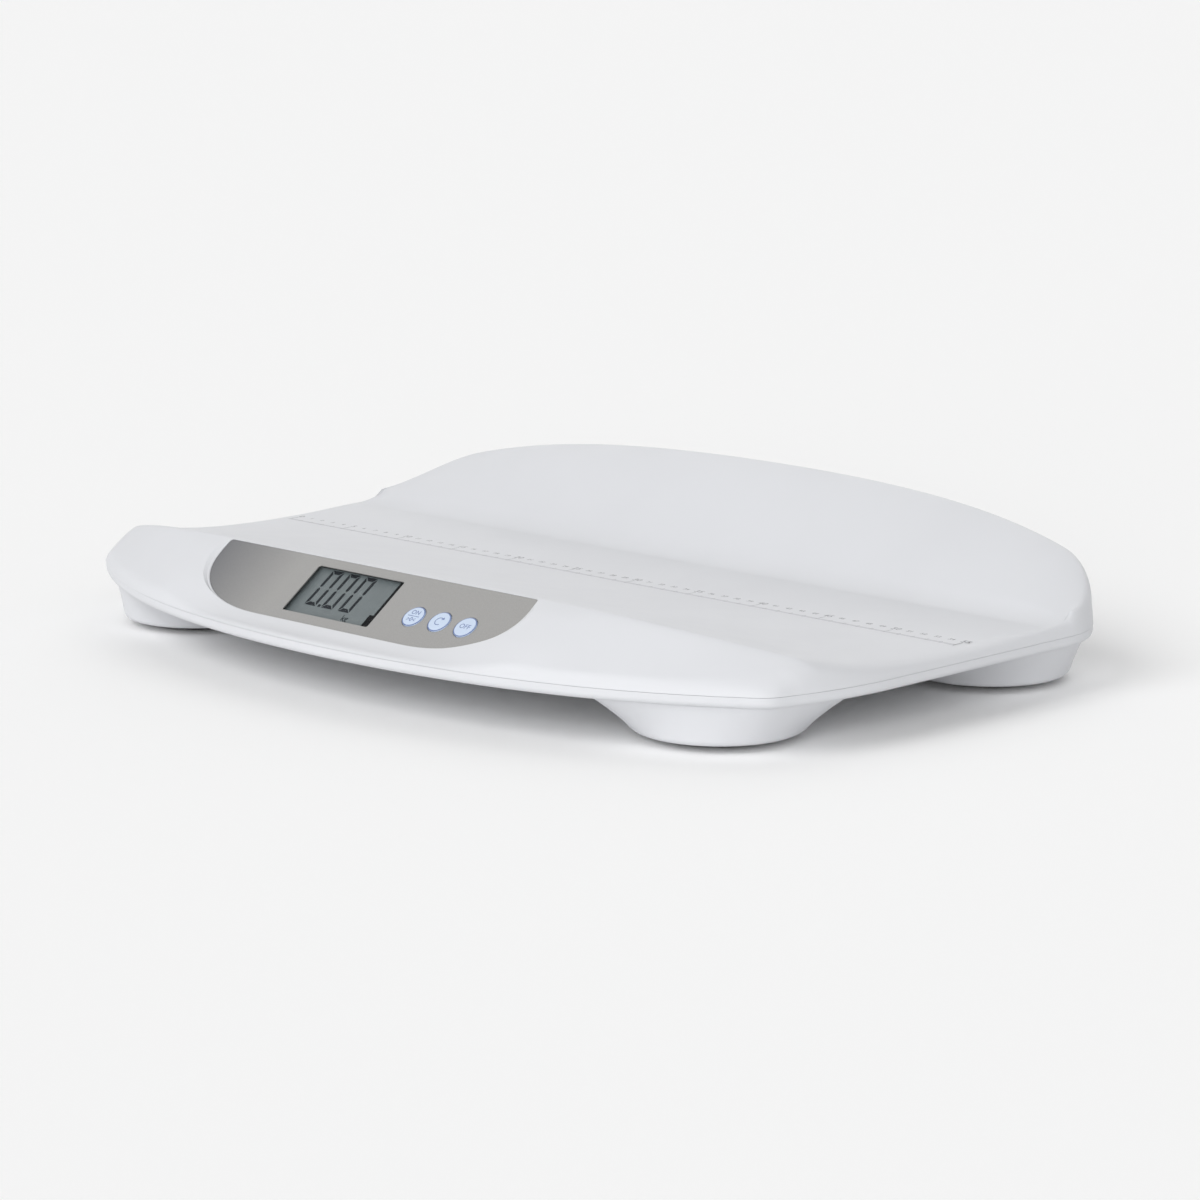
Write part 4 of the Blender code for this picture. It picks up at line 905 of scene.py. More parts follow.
def clear_window(name):
    """Clear acrylic, nearly invisible from the front, that shines at its edges."""
    finish = Finish(name, (0.30, 0.32, 0.31), 0.05, Alpha=0.012, IOR=1.49, Specular_IOR_Level=0.2)
    finish.rough(60.0, 0.03, 0.08)
    finish.bump(finish.noise(18.0), 0.00002, 0.2)
    return finish.material


def rubber(name, colour, gloss=0.3):
    """Moulded rubber: matt and slightly dusty, with a coarse grain."""
    finish = Finish(name, colour, 0.75, Specular_IOR_Level=gloss)
    dust = finish.span(finish.noise(60.0, 4.0), 0.0, 0.35)
    finish.colour(finish.mix(dust, colour, shade(colour, 2.0)))
    finish.rough(200.0, 0.65, 0.85)
    finish.bump(finish.noise(1800.0), 0.00004, 0.5)
    return finish.material


def plated_steel(name, colour, roughness, stretch=None):
    """Bright plated metal with fine drawing lines."""
    finish = Finish(name, colour, roughness, Metallic=1.0)
    lines = finish.noise(900.0, 2.0, stretch or (1.0, 1.0, 6.0))
    finish.colour(finish.mix(finish.span(finish.noise(120.0), 0.0, 1.0), shade(colour, 0.88), colour))
    finish.feed(finish.shader["Roughness"], finish.span(lines, roughness - 0.06, roughness + 0.10))
    finish.bump(lines, 0.00001, 0.4)
    return finish.material


def fibreglass_board(name, colour):
    """Solder mask over woven glass, with paler copper runs showing through it."""
    finish = Finish(name, colour, 0.4, Coat_Weight=0.5, Coat_Roughness=0.2)
    runs = finish.node("ShaderNodeTexBrick", Vector=finish.coords, Scale=240.0, Mortar_Size=0.08)
    finish.colour(finish.mix(runs.outputs["Fac"], colour, shade(colour, 1.9)))
    finish.bump(finish.noise(1400.0), 0.00002, 0.4)
    return finish.material


def cell_jacket(name, colour, band, places):
    """A battery's printed sleeve: a dark body and a bright band at one end."""
    finish = Finish(name, colour, 0.3, Metallic=0.35, Coat_Weight=0.5, Coat_Roughness=0.1)
    along = finish.out("ShaderNodeSeparateXYZ", Vector=finish.coords)
    edge = finish.span(along, 0.0, 1.0, places[0], places[1])
    finish.colour(finish.mix(edge, colour, band))
    finish.bump(finish.noise(500.0), 0.00001, 0.3)
    return finish.material


# Geometry nodes

class NodeTree(Nodes):
    """A geometry node group with named inputs and a material, grown on a base mesh and then baked."""

    def __init__(self, name, inputs):
        super().__init__(bpy.data.node_groups.new(name, "GeometryNodeTree"))
        face = self.tree.interface
        face.new_socket("Geometry", in_out="INPUT", socket_type="NodeSocketGeometry")
        face.new_socket("Geometry", in_out="OUTPUT", socket_type="NodeSocketGeometry")
        self.identifiers = {}
        for label, kind in {**inputs, "Material": "Material"}.items():
            socket = face.new_socket(label, in_out="INPUT", socket_type="NodeSocket" + kind)
            self.identifiers[label] = socket.identifier
        self.inputs = self.tree.nodes.new("NodeGroupInput").outputs
        self.end = self.tree.nodes.new("NodeGroupOutput").inputs[0]

    def put(self, points, instance, **sockets):
        return self.out("GeometryNodeInstanceOnPoints", Points=points, Instance=instance, **sockets)

    def row(self, count, start, offset):
        """A straight row of points."""
        return self.out("GeometryNodeMeshLine", {"mode": "OFFSET"},
                        Count=count, Start_Location=start, Offset=offset)

    def base_points(self):
        return self.out("GeometryNodeMeshToPoints", Mesh=self.inputs["Geometry"])

    def join(self, *parts):
        joined = self.node("GeometryNodeJoinGeometry")
        for part in parts:
            self.feed(joined.inputs[0], part)
        return joined.outputs[0]

    def finish(self, geometry):
        """Ends the tree in Realize Instances and Set Material."""
        real = self.out("GeometryNodeRealizeInstances", Geometry=geometry)
        done = self.out("GeometryNodeSetMaterial", Geometry=real, Material=self.inputs["Material"])
        self.feed(self.end, done)

    def grow(self, name, base, values):
        piece = add_piece(name, base)
        modifier = piece.modifiers.new("nodes", "NODES")
        modifier.node_group = self.tree
        for label, value in values.items():
            modifier[self.identifiers[label]] = value
        return applied(piece)


def points_mesh(name, places):
    mesh = bpy.data.meshes.new(name)
    mesh.from_pydata([tuple(place) for place in places], [], [])
    return mesh


def tick_tree():
    """Ruler marks: a row of thin bars, every fifth one longer."""
    sizes = ("Spacing", "Short Tick", "Long Tick", "Tick Width", "Ink Height")
    tree = NodeTree("ruler_ticks", {"Count": "Int", "Start": "Vector", **dict.fromkeys(sizes, "Float")})
    value = tree.inputs
    row = tree.row(value["Count"], value["Start"], tree.vector(value["Spacing"]))
    bar = tree.out("GeometryNodeMeshCube", Size=(1.0, 1.0, 1.0))
    bar = tree.out("GeometryNodeTransform", Geometry=bar, Translation=(0.0, 0.5, 0.5))
    fifth = tree.maths("COMPARE", tree.maths("MODULO", tree.out("GeometryNodeInputIndex"), 5.0), 0.0)
    extra = tree.maths("SUBTRACT", value["Long Tick"], value["Short Tick"])
    reach = tree.maths("ADD", value["Short Tick"], tree.maths("MULTIPLY", fifth, extra))
    tree.finish(tree.put(row, bar, Scale=tree.vector(value["Tick Width"], reach, value["Ink Height"])))
    return tree


def screw_tree():
    """Pan-head screws with a cross recess, one at each point."""
    sizes = ("Head Radius", "Head Height", "Shank Radius", "Length", "Slot Width", "Slot Length")
    tree = NodeTree("casing_screws", dict.fromkeys(sizes, "Float"))
    value = tree.inputs
    high = value["Head Height"]

    def lowered(geometry, share):
        drop = tree.vector(z=tree.maths("MULTIPLY", high, -share))
        return tree.out("GeometryNodeTransform", Geometry=geometry, Translation=drop)

    def bar(x, y):
        return lowered(tree.out("GeometryNodeMeshCube", Size=tree.vector(value[x], value[y], high)), 1.05)

    head = tree.out("GeometryNodeMeshCone", Vertices=32, Radius_Top=value["Head Radius"], Depth=high,
                    Radius_Bottom=tree.maths("MULTIPLY", value["Head Radius"], SCREW_TAPER))
    shank = tree.out("GeometryNodeMeshCone", Vertices=24, Radius_Bottom=value["Shank Radius"],
                     Radius_Top=tree.maths("MULTIPLY", value["Shank Radius"], 0.5), Depth=value["Length"])
    slots = tree.join(bar("Slot Length", "Slot Width"), bar("Slot Width", "Slot Length"))
    head = tree.out("GeometryNodeMeshBoolean", {"operation": "DIFFERENCE"}, i0=lowered(head, 1.0), i1=slots)
    tree.finish(tree.put(tree.base_points(), tree.join(head, shank)))
    return tree


def tread_tree():
    """Round ribs under a foot: rings whose radius grows by the same step."""
    sizes = ("First Radius", "Spacing", "Rib Radius", "Level")
    tree = NodeTree("foot_treads", {"Count": "Int", **dict.fromkeys(sizes, "Float")})
    value = tree.inputs
    row = tree.row(value["Count"], tree.vector(z=value["Level"]), (0.0, 0.0, 0.0))
    grown = tree.maths("MULTIPLY", tree.out("GeometryNodeInputIndex"), value["Spacing"])
    radius = tree.maths("ADD", value["First Radius"], grown)
    ring = tree.out("GeometryNodeCurvePrimitiveCircle", Resolution=96, Radius=1.0)
    rings = tree.put(row, ring, Scale=tree.vector(radius, radius, 1.0))
    rings = tree.out("GeometryNodeRealizeInstances", Geometry=rings)
    rib = tree.out("GeometryNodeCurvePrimitiveCircle", Resolution=8, Radius=value["Rib Radius"])
    ribs = tree.out("GeometryNodeCurveToMesh", Curve=rings, Profile_Curve=rib)
    tree.finish(tree.put(tree.base_points(), ribs))
    return tree


# Settings

def colour_property(name, description, default):
    return bpy.props.FloatVectorProperty(name=name, description=description, default=default, size=3,
                                         min=0.0, max=1.0, subtype="COLOR")


def share_property(name, description, default):
    return bpy.props.FloatProperty(name=name, description=description, default=default, min=0.0, max=1.0,
                                   subtype="FACTOR")


def length_property(name, description, default):
    return bpy.props.FloatProperty(name=name, description=description, default=default, min=0.0,
                                   unit="LENGTH", subtype="DISTANCE", precision=5)


class CasingSettings(bpy.types.PropertyGroup):
    """Colour and gloss of the white casings."""
    plastic: colour_property("Plastic", "Colour of the casings", (0.605, 0.613, 0.636))
    roughness: share_property("Roughness", "How matt the plastic is", 0.5)


class DisplaySettings(bpy.types.PropertyGroup):
    """Panel, window and digits."""
    film: colour_property("Film", "Colour of the silver panel", (0.283, 0.279, 0.272))
    # Painted shade: the colour the film darkens into at its left end stands in for a darker reflection.
    film_end: colour_property("Film Painted Shade", "Colour that the panel shades into at its left end",
                              (0.125, 0.127, 0.135))
    ground: colour_property("Display", "Colour of the display's ground", (0.122, 0.144, 0.150))
    digit: colour_property("Digit", "Colour of the digits", (0.012, 0.014, 0.018))
    reading: bpy.props.StringProperty(name="Reading", description="Digits shown, the point after the first",
                                      default="000")
    digit_width: length_property("Digit Width", "Width of a digit", 0.0095)
    digit_height: length_property("Digit Height", "Height of a digit", 0.0273)
    digit_pitch: length_property("Digit Pitch", "Distance from one digit to the next", 0.01405)


class ButtonSettings(bpy.types.PropertyGroup):
    """The three caps."""
    cap: colour_property("Cap", "Colour of the caps", (0.50, 0.585, 0.72))
    # The ring's colour also covers the upper half of the cap's rounded edge, where it is painted shade.
    ring: colour_property("Ring", "Colour of the ring and marks on a cap", (0.065, 0.105, 0.27))
    ring_width: length_property("Ring Width", "Width of the printed ring", 0.00045)


class RulerSettings(bpy.types.PropertyGroup):
    """The measuring rule printed on the tray."""
    ink: colour_property("Ink", "Colour of the numbers and marks", (0.12, 0.12, 0.14))
    # The grey line is partly the printed base line and partly painted shade of the crease it lies in, so it
    # is drawn wider than the print alone.
    line: colour_property("Line", "Colour of the line under them", (0.42, 0.42, 0.45))
    line_width: length_property("Line And Crease Shade Width", "Width of that line", 0.0026)
    spacing: length_property("Spacing", "Distance between two marks", 0.010)
    count: bpy.props.IntProperty(name="Marks", description="How many marks the rule has", default=56, min=2)
    number_height: length_property("Number Height", "Height of the numbers", 0.0064)


class UndersideSettings(bpy.types.PropertyGroup):
    """Feet and screws."""
    rubber: colour_property("Rubber", "Colour of the feet", (0.010, 0.010, 0.012))
    steel: colour_property("Steel", "Colour of the screws", (0.62, 0.62, 0.63))
    tread_count: bpy.props.IntProperty(name="Treads", description="Ribs under a foot", default=7, min=1)
    tread_spacing: length_property("Tread Spacing", "Distance between two ribs", 0.0038)


class StudioSettings(bpy.types.PropertyGroup):
    """Floor and light."""
    backdrop: share_property("Backdrop", "Brightness of the backdrop", 0.88)
    floor: share_property("Floor", "Brightness of the floor's paper", 0.97)
    sky: bpy.props.FloatProperty(name="Sky", description="Strength of the light from all round",
                                 default=0.276, min=0.0)
    lamps: bpy.props.FloatProperty(name="Lamps", description="Strength of the soft lamps",
                                   default=0.985, min=0.0)


# Steps

class SCALE_OT_casings(bpy.types.Operator):
    """Make the upper and lower casing"""
    bl_idname = "scale.casings"
    bl_label = "Casings"

    def execute(self, context):
        settings = context.scene.scale_casing
        material = moulded_plastic("casing_plastic", settings.plastic, settings.roughness)
        self.make_top(material)
        self.make_bottom(material)
        return {"FINISHED"}

    def make_top(self, material):
        casing = add_piece("upper_casing", shell_solid("upper_casing", 0, 0, SEAM, EDGE_STEPS), material)
        hollow = shell_solid("upper_hollow", WALL, WALL, SEAM - CUT_OVERRUN, HOLLOW_EDGE_STEPS)
        recess = lofted("recess", self.recess_rings(), PANEL_FRAME)
        through = [(0, -WALL - CUT_OVERRUN), (0, -PANEL_RECESS + CUT_OVERRUN)]
        window = plate("window", window_outline(LENS_OVERLAP + FIT_GAP, WINDOW_CORNER), through)
        weighted(combined(casing, [hollow, recess, window] + button_cutters(through)))
        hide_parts("top_casing")
        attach(casing, "scale")

    def recess_rings(self):
        """Rings up the recess for the panel, that open out like a scoop round its two ends."""
        levels = flared_levels(-PANEL_RECESS, 0, RECESS_EDGE_ROUND)[:-1]
        levels += [(RECESS_EDGE_ROUND, CUT_OVERRUN * i / ROUND_STEPS) for i in range(1, ROUND_STEPS + 1)]
        rings = []
        for offset, height in levels:
            lift = max(height + PANEL_SINK, 0.0) / (PANEL_SINK + RECESS_END_RISE)
            ring = []
            for x, y in panel_outline(offset + FIT_GAP):
                end = smooth_step((abs(x) - PANEL_HALF_LENGTH) / RECESS_END_REACH + 1)
                end *= smooth_step((-PANEL_TOP_DROP - y) / PANEL_SHOULDER)
                flare = math.copysign(RECESS_END_FLARE * end * lift ** RECESS_END_CURVE, x)
                ring.append((x + flare, y, height))
            rings.append(ring)
        return rings

    def make_bottom(self, material):
        rim, top = LOWER_EDGE_INSET, SEAM - EDGE_BREAK
        levels = [(rim + EDGE_BREAK, top), (rim, top - EDGE_BREAK)]
        levels += [(rim + across, UNDERSIDE + up) for across, up in quarter_round(LOWER_EDGE_ROUND)]
        casing = add_piece("lower_casing", plan_solid("lower_casing", levels), material)
        hollow = plan_solid("hollow", [(rim + WALL, top + CUT_OVERRUN), (rim + WALL, UNDERSIDE + WALL)])
        combined(casing, [hollow])
        places = [round_part("rubber_foot_" + corner)[0] for corner in CORNERS]
        combined(casing, [pod_mesh(*place) for place in places], "UNION")
        combined(casing, [turned("well", self.well_profile(), POD_FACETS, place) for place in places])
        weighted(self.cut_bay(casing))
        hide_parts("bottom_casing")
        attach(casing, "scale")

    def well_profile(self):
        """The stepped well down through a pod: round the retainer, the foot's cup and the foot."""
        _, retainer, foot, _ = round_part("cell_retainer_front_left")
        shelf, ledge = retainer + RETAINER_CLEARANCE, foot - FIT_GAP
        cup = round_part("foot_cup_front_left")[1] + WELL_CLEARANCE
        hole = round_part("rubber_foot_front_left")[1] + WELL_CLEARANCE
        top, floor, bottom = UNDERSIDE + WALL + CUT_OVERRUN, POD_BOTTOM + POD_FLOOR_THICKNESS, -CUT_OVERRUN
        return [(0, top), (shelf, top), (shelf, ledge), (cup, ledge), (cup, floor), (hole, floor),
                (hole, bottom), (0, bottom)]

    def cut_bay(self, casing):
        """Adds the battery bay's walls, then cuts the door's recess, the bay and the sinks of the screws."""
        door_low, door_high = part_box("battery_door")
        side = door_low.x + DOOR_PIN_LENGTH - DOOR_GAP
        recess_low = Vector((side, door_low.y - DOOR_GAP, UNDERSIDE - CUT_OVERRUN))
        recess_high = Vector((-side, door_high.y + DOOR_GAP, door_high.z + FIT_GAP))
        cells = [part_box("battery_%d" % i) for i in range(1, 5)]
        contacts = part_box("battery_contact_left_1")[0].x - FIT_GAP
        bay_low = Vector((contacts, min(low.y for low, _ in cells) - 2 * FIT_GAP, door_high.z))
        bay_high = Vector((-contacts, max(high.y for _, high in cells) + 2 * FIT_GAP,
                           max(high.z for _, high in cells) + FIT_GAP))
        walls = self.box(Vector((recess_low.x - BAY_WALL, recess_low.y - BAY_WALL, UNDERSIDE + FIT_GAP)),
                         Vector((recess_high.x + BAY_WALL, recess_high.y + BAY_WALL, bay_high.z + BAY_WALL)))
        combined(casing, [walls], "UNION")
        cutters = [self.box(recess_low, recess_high), self.box(bay_low, bay_high)]
        for place, radius, _, _ in screw_parts():
            reach, top, bottom = radius + FIT_GAP, UNDERSIDE + SCREW_SINK, UNDERSIDE - CUT_OVERRUN
            profile = [(0, top), (reach, top), (reach, bottom), (0, bottom)]
            cutters.append(turned("sink", profile, ROUND_FACETS, place))
        return combined(casing, cutters)

    def box(self, low, high):
        return prism("tool", rectangle(low.x, low.y, high.x, high.y), low.z, high.z)


class SCALE_OT_display(bpy.types.Operator):
    """Make the silver panel, the display's mask, its ground and its digits"""
    bl_idname = "scale.display"
    bl_label = "Display"

    def execute(self, context):
        settings = context.scene.scale_display
        self.make_panel(silver_film("panel_film", settings.film, settings.film_end, 0.42))
        self.make_mask(rubber("display_mask_black", (0.004, 0.004, 0.005), 0.05))
        ground = liquid_crystal("display_ground", settings.ground)
        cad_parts["lcd_glass"].material_slots[0].material = ground
        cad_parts["display_lens"].material_slots[0].material = clear_window("window_clear")
        self.make_digits(settings)
        return {"FINISHED"}

    def make_panel(self, material):
        levels = rounded_levels(PANEL_BOTTOM, -PANEL_SINK, PANEL_EDGE_ROUND)
        levels = [(offset + FIT_GAP - PANEL_SLACK, z) for offset, z in levels]
        panel = add_piece("silver_panel", plate("silver_panel", panel_outline, levels), material)
        hole = flared_levels(PANEL_BOTTOM - CUT_OVERRUN, -PANEL_SINK, PANEL_EDGE_ROUND)
        window = plate("window", window_outline(0, WINDOW_CORNER), hole)
        weighted(combined(panel, [window] + button_cutters(hole)))
        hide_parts("display_panel")
        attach(panel, "scale")

    def make_mask(self, material):
        """A black frame under the window, that shows along its top and right edges."""
        left = WINDOW_X - WINDOW_LENGTH / 2 - LENS_OVERLAP
        right = WINDOW_X + WINDOW_LENGTH / 2 + LENS_OVERLAP
        low, high = -WINDOW_DROP - WINDOW_HEIGHT - LENS_OVERLAP, -WINDOW_DROP + LENS_OVERLAP
        side, foot = left + MASK_RIM, low + MASK_RIM
        notch_x, notch_y = MASK_NOTCH
        opening = [(side, foot), (notch_x, foot), (notch_x, notch_y), (MASK_RIGHT, notch_y),
                   (MASK_RIGHT, MASK_TOP), (side, MASK_TOP)]
        outline = rectangle(left, low, right, high)
        mesh = prism("display_mask", outline, GASKET_BOTTOM, GASKET_TOP, PANEL_FRAME)
        mask = add_piece("display_mask", mesh, material)
        tool = prism("tool", opening, GASKET_BOTTOM - CUT_OVERRUN, GASKET_TOP + CUT_OVERRUN, PANEL_FRAME)
        combined(mask, [tool])
        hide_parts("display_gasket")
        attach(mask, "scale")

    def segments(self, width, height):
        """The seven bars of a digit, as outlines with slanted ends."""
        bar, stile, gap, half = DIGIT_BAR, DIGIT_STILE, DIGIT_GAP, height / 2
        bottom = [(gap, 0), (width - gap, 0), (width - gap - bar, bar), (gap + bar, bar)]
        tip, shoulder = gap + stile, 2 * gap + 1.5 * stile
        middle = [(tip, half), (shoulder, half + bar / 2), (width - shoulder, half + bar / 2),
                  (width - tip, half), (width - shoulder, half - bar / 2), (shoulder, half - bar / 2)]
        lower_left = [(0, 2 * gap), (stile, bar + gap), (stile, half - bar / 2), (stile / 2, half - gap),
                      (0, half - gap - stile / 2)]
        lower_right = [(width - x, y) for x, y in lower_left]
        top, upper_right, upper_left = ([(x, height - y) for x, y in outline]
                                        for outline in (bottom, lower_right, lower_left))
        return {"a": top, "b": upper_right, "c": lower_right, "d": bottom, "e": lower_left,
                "f": upper_left, "g": middle}

    def make_digits(self, settings):
        shown = {"0": "abcdef", "1": "bc", "2": "abged", "3": "abgcd", "4": "fgbc", "5": "afgcd",
                 "6": "afgedc", "7": "abc", "8": "abcdefg", "9": "abcdfg"}
        first_x, base_y = DIGITS_START
        low, high = GLASS_TOP + DIGIT_LIFT, GLASS_TOP + DIGIT_TOP
        bars = self.segments(settings.digit_width, settings.digit_height)
        point_x = first_x + settings.digit_width + POINT_LEAD
        outlines = [rectangle(point_x, base_y, point_x + POINT_SIZE, base_y + POINT_SIZE)]
        for i, digit in enumerate(settings.reading):
            shift = first_x + i * settings.digit_pitch
            for bar in shown[digit]:
                outlines.append([(x + shift + DIGIT_LEAN * y, y + base_y) for x, y in bars[bar]])
        ink = printed_ink("digit_black", settings.digit, settings.ground, 0.04, 0.05)
        meshes = [prism("bar", outline, low, high, PANEL_FRAME) for outline in outlines]
        digits = joined("display_digits", [add_piece("bar", mesh, ink) for mesh in meshes])
        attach(digits, "scale")
        unit = lettering("display_unit", "kg", UNIT_HEIGHT, (*UNIT_MIDDLE, low), high - low, PANEL_FRAME, ink)
        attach(unit, "scale")


class SCALE_OT_buttons(bpy.types.Operator):
    """Make the three button caps with their rings and marks"""
    bl_idname = "scale.buttons"
    bl_label = "Buttons"

    def execute(self, context):
        settings = context.scene.scale_buttons
        cap = moulded_plastic("cap_blue", settings.cap, 0.38, 2200.0, 0.00001)
        # This ink is the printed ring, and painted shade on the upper half of the cap's edge.
        ring = printed_ink("cap_ring_blue", settings.ring, settings.cap)
        for name, place in button_places().items():
            body = "button_" + name
            piece = self.make_cap(body, place, settings, cap, ring)
            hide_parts(body)
            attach(piece, body)
            marks = self.make_marks(name, place, ring)
            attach(marks, body)
        return {"FINISHED"}

    def make_cap(self, body, place, settings, cap, ring):
        crown = -PANEL_SINK + BUTTON_PROUD
        rim = crown - BUTTON_DOME
        low = FLANGE_TOP - BUTTON_FLANGE_THICKNESS
        stem = low - BUTTON_STEM_LENGTH
        printed = BUTTON_RADIUS - BUTTON_DOME - settings.ring_width
        dome = [(0, crown), (BUTTON_RADIUS / 4, crown), (BUTTON_RADIUS / 2, crown - BUTTON_DOME / 8),
                (printed, rim + BUTTON_DOME / 3), (BUTTON_RADIUS - BUTTON_DOME, rim)]
        edge = [(BUTTON_RADIUS - across, rim - down) for down, across in quarter_round(BUTTON_DOME)[1:]]
        flange = BUTTON_RADIUS + BUTTON_FLANGE
        tail = [(BUTTON_RADIUS, FLANGE_TOP), (flange, FLANGE_TOP), (flange, low), (BUTTON_STEM_RADIUS, low),
                (BUTTON_STEM_RADIUS, stem), (0, stem)]
        mesh = turned(body + "_cap", dome + edge + tail, ROUND_FACETS, place, PANEL_FRAME)
        piece = add_piece(body + "_cap", mesh, cap)
        mesh.materials.append(ring)
        # Faces of the printed ring and of the upper half of the cap's rounded edge take the ring's dark blue:
        # print on top, painted shade on the edge.
        back = (PANEL_FRAME @ Matrix.Translation((*place, 0))).inverted()
        for face in mesh.polygons:
            middle = back @ face.center
            if math.hypot(middle.x, middle.y) > printed and middle.z > rim - BUTTON_DOME / 2:
                face.material_index = 1
        return smooth(piece, SMALL_CREASE)

    def make_marks(self, name, place, ink):
        level = -PANEL_SINK + BUTTON_PROUD - BUTTON_DOME / 4
        thickness = BUTTON_DOME / 3
        x, y = place

        def word(letters, height, lift=0.0):
            return lettering("mark", letters, height, (x, y + lift, level), thickness, PANEL_FRAME, ink)

        def shape(outline):
            return add_piece("mark", prism("mark", outline, level, level + thickness, PANEL_FRAME), ink)

        if name == "tare":
            half, width = DIVIDER
            pieces = [word("ON", WORD_HEIGHT, WORD_OFFSET), word(">0<", WORD_HEIGHT, -WORD_OFFSET),
                      shape(rectangle(x - half, y - width, x + half, y + width))]
        elif name == "off":
            pieces = [word("OFF", LONE_WORD_HEIGHT)]
        else:
            pieces = [shape(outline) for outline in self.return_arrow(x, y)]
        return joined("marks_" + name, pieces)

    def return_arrow(self, x, y):
        """The arc and the head of a plain arrow that turns back on itself."""
        def at(radius, angle):
            return x + radius * math.cos(angle), y + radius * math.sin(angle)

        sweep = [math.radians(ARROW_START + ARROW_SWEEP * i / ARROW_STEPS) for i in range(ARROW_STEPS + 1)]
        outer = [at(ARROW_RADIUS + ARROW_WIDTH / 2, angle) for angle in sweep]
        inner = [at(ARROW_RADIUS - ARROW_WIDTH / 2, angle) for angle in sweep]
        start_x, start_y = at(ARROW_RADIUS, sweep[0])
        wings = [at(ARROW_RADIUS + side * ARROW_WING, sweep[0]) for side in (1, -1)]
        return outer + inner[::-1], [(start_x + ARROW_TIP[0], start_y + ARROW_TIP[1]), *wings]


class SCALE_OT_ruler(bpy.types.Operator):
    """Print the measuring rule on the tray's floor"""
    bl_idname = "scale.ruler"
    bl_label = "Ruler"

    def execute(self, context):
        settings = context.scene.scale_ruler
        ink = printed_ink("ruler_grey", settings.ink, TRAY_TINT)
        first_x, base_y = RULER_START
        ticks = tick_tree().grow("ruler_ticks", points_mesh("ruler_ticks", [(0, 0, 0)]), {
            "Count": settings.count, "Spacing": settings.spacing, "Start": (first_x, base_y, TRAY_FLOOR),
            "Short Tick": TICK_SHORT, "Long Tick": TICK_LONG, "Tick Width": TICK_WIDTH,
            "Ink Height": RULER_PRINT, "Material": ink})
        # Grey line along the tray's crease: partly the printed base line, partly painted shade of the crease.
        line_and_crease_shade_ink = printed_ink("ruler_line_grey", settings.line, TRAY_TINT)
        last_x = first_x + (settings.count - 1) * settings.spacing
        outline = rectangle(first_x, base_y, last_x, base_y + settings.line_width)
        mesh = prism("ruler_line", outline, TRAY_FLOOR - RULER_LINE_SINK, TRAY_FLOOR + RULER_LINE_PRINT)
        line = add_piece("ruler_line", mesh, line_and_crease_shade_ink)
        numbers = []
        for i in range(settings.count):
            distance, share = (SMALL_NUMBER_DISTANCE, SMALL_NUMBER_SHARE) if i % 5 else (NUMBER_DISTANCE, 1.0)
            centre = (first_x + i * settings.spacing, base_y + distance, TRAY_FLOOR)
            numbers.append(lettering("number", str(i), settings.number_height * share, centre, RULER_PRINT,
                                     Matrix.Identity(4), ink))
        for piece in (ticks, line, joined("ruler_numbers", numbers)):
            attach(piece, "scale")
        return {"FINISHED"}


class SCALE_OT_underside(bpy.types.Operator):
    """Make the rubber feet with their treads and the casing screws"""
    bl_idname = "scale.underside"
    bl_label = "Underside"

    def execute(self, context):
        settings = context.scene.scale_underside
        black = rubber("foot_rubber", settings.rubber, 0.15)
        treads = tread_tree()
        for corner in CORNERS:
            node = "rubber_foot_" + corner
            place, radius, _, top = round_part(node)
            profile = [(0, top), (radius - FOOT_TOP_EDGE, top), (radius, top - FOOT_TOP_EDGE)]
            profile += [(radius - across, TREAD_RELIEF + up) for across, up in quarter_round(FOOT_EDGE)]
            profile.append((0, TREAD_RELIEF))
            pad = smooth(add_piece("pad", turned("pad", profile, ROUND_FACETS, place), black), FOOT_CREASE)
            ribs = treads.grow("ribs", points_mesh("ribs", [(*place, 0)]), {
                "Count": settings.tread_count, "First Radius": FIRST_TREAD, "Spacing": settings.tread_spacing,
                "Rib Radius": TREAD_RELIEF, "Level": TREAD_RELIEF, "Material": black})
            foot = smooth(joined("foot_" + corner, [pad, ribs]), FOOT_CREASE)
            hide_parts(node)
            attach(foot, "scale")
        self.make_screws(plated_steel("screw_steel", settings.steel, 0.32))
        return {"FINISHED"}

    def make_screws(self, material):
        parts = screw_parts()
        _, radius, foot, top = parts[0]
        places = [(*middle, low + SCREW_HEAD) for middle, _, low, _ in parts]
        screws = screw_tree().grow("casing_screws", points_mesh("casing_screws", places), {
            "Head Radius": radius, "Head Height": SCREW_HEAD, "Shank Radius": SCREW_SHANK,
            "Length": top - foot - SCREW_HEAD, "Slot Width": SCREW_SLOT[0], "Slot Length": SCREW_SLOT[1],
            "Material": material})
        smooth(screws, SMALL_CREASE)
        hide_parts(*("casing_screw_%d" % i for i in range(1, 7)))
        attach(screws, "scale")


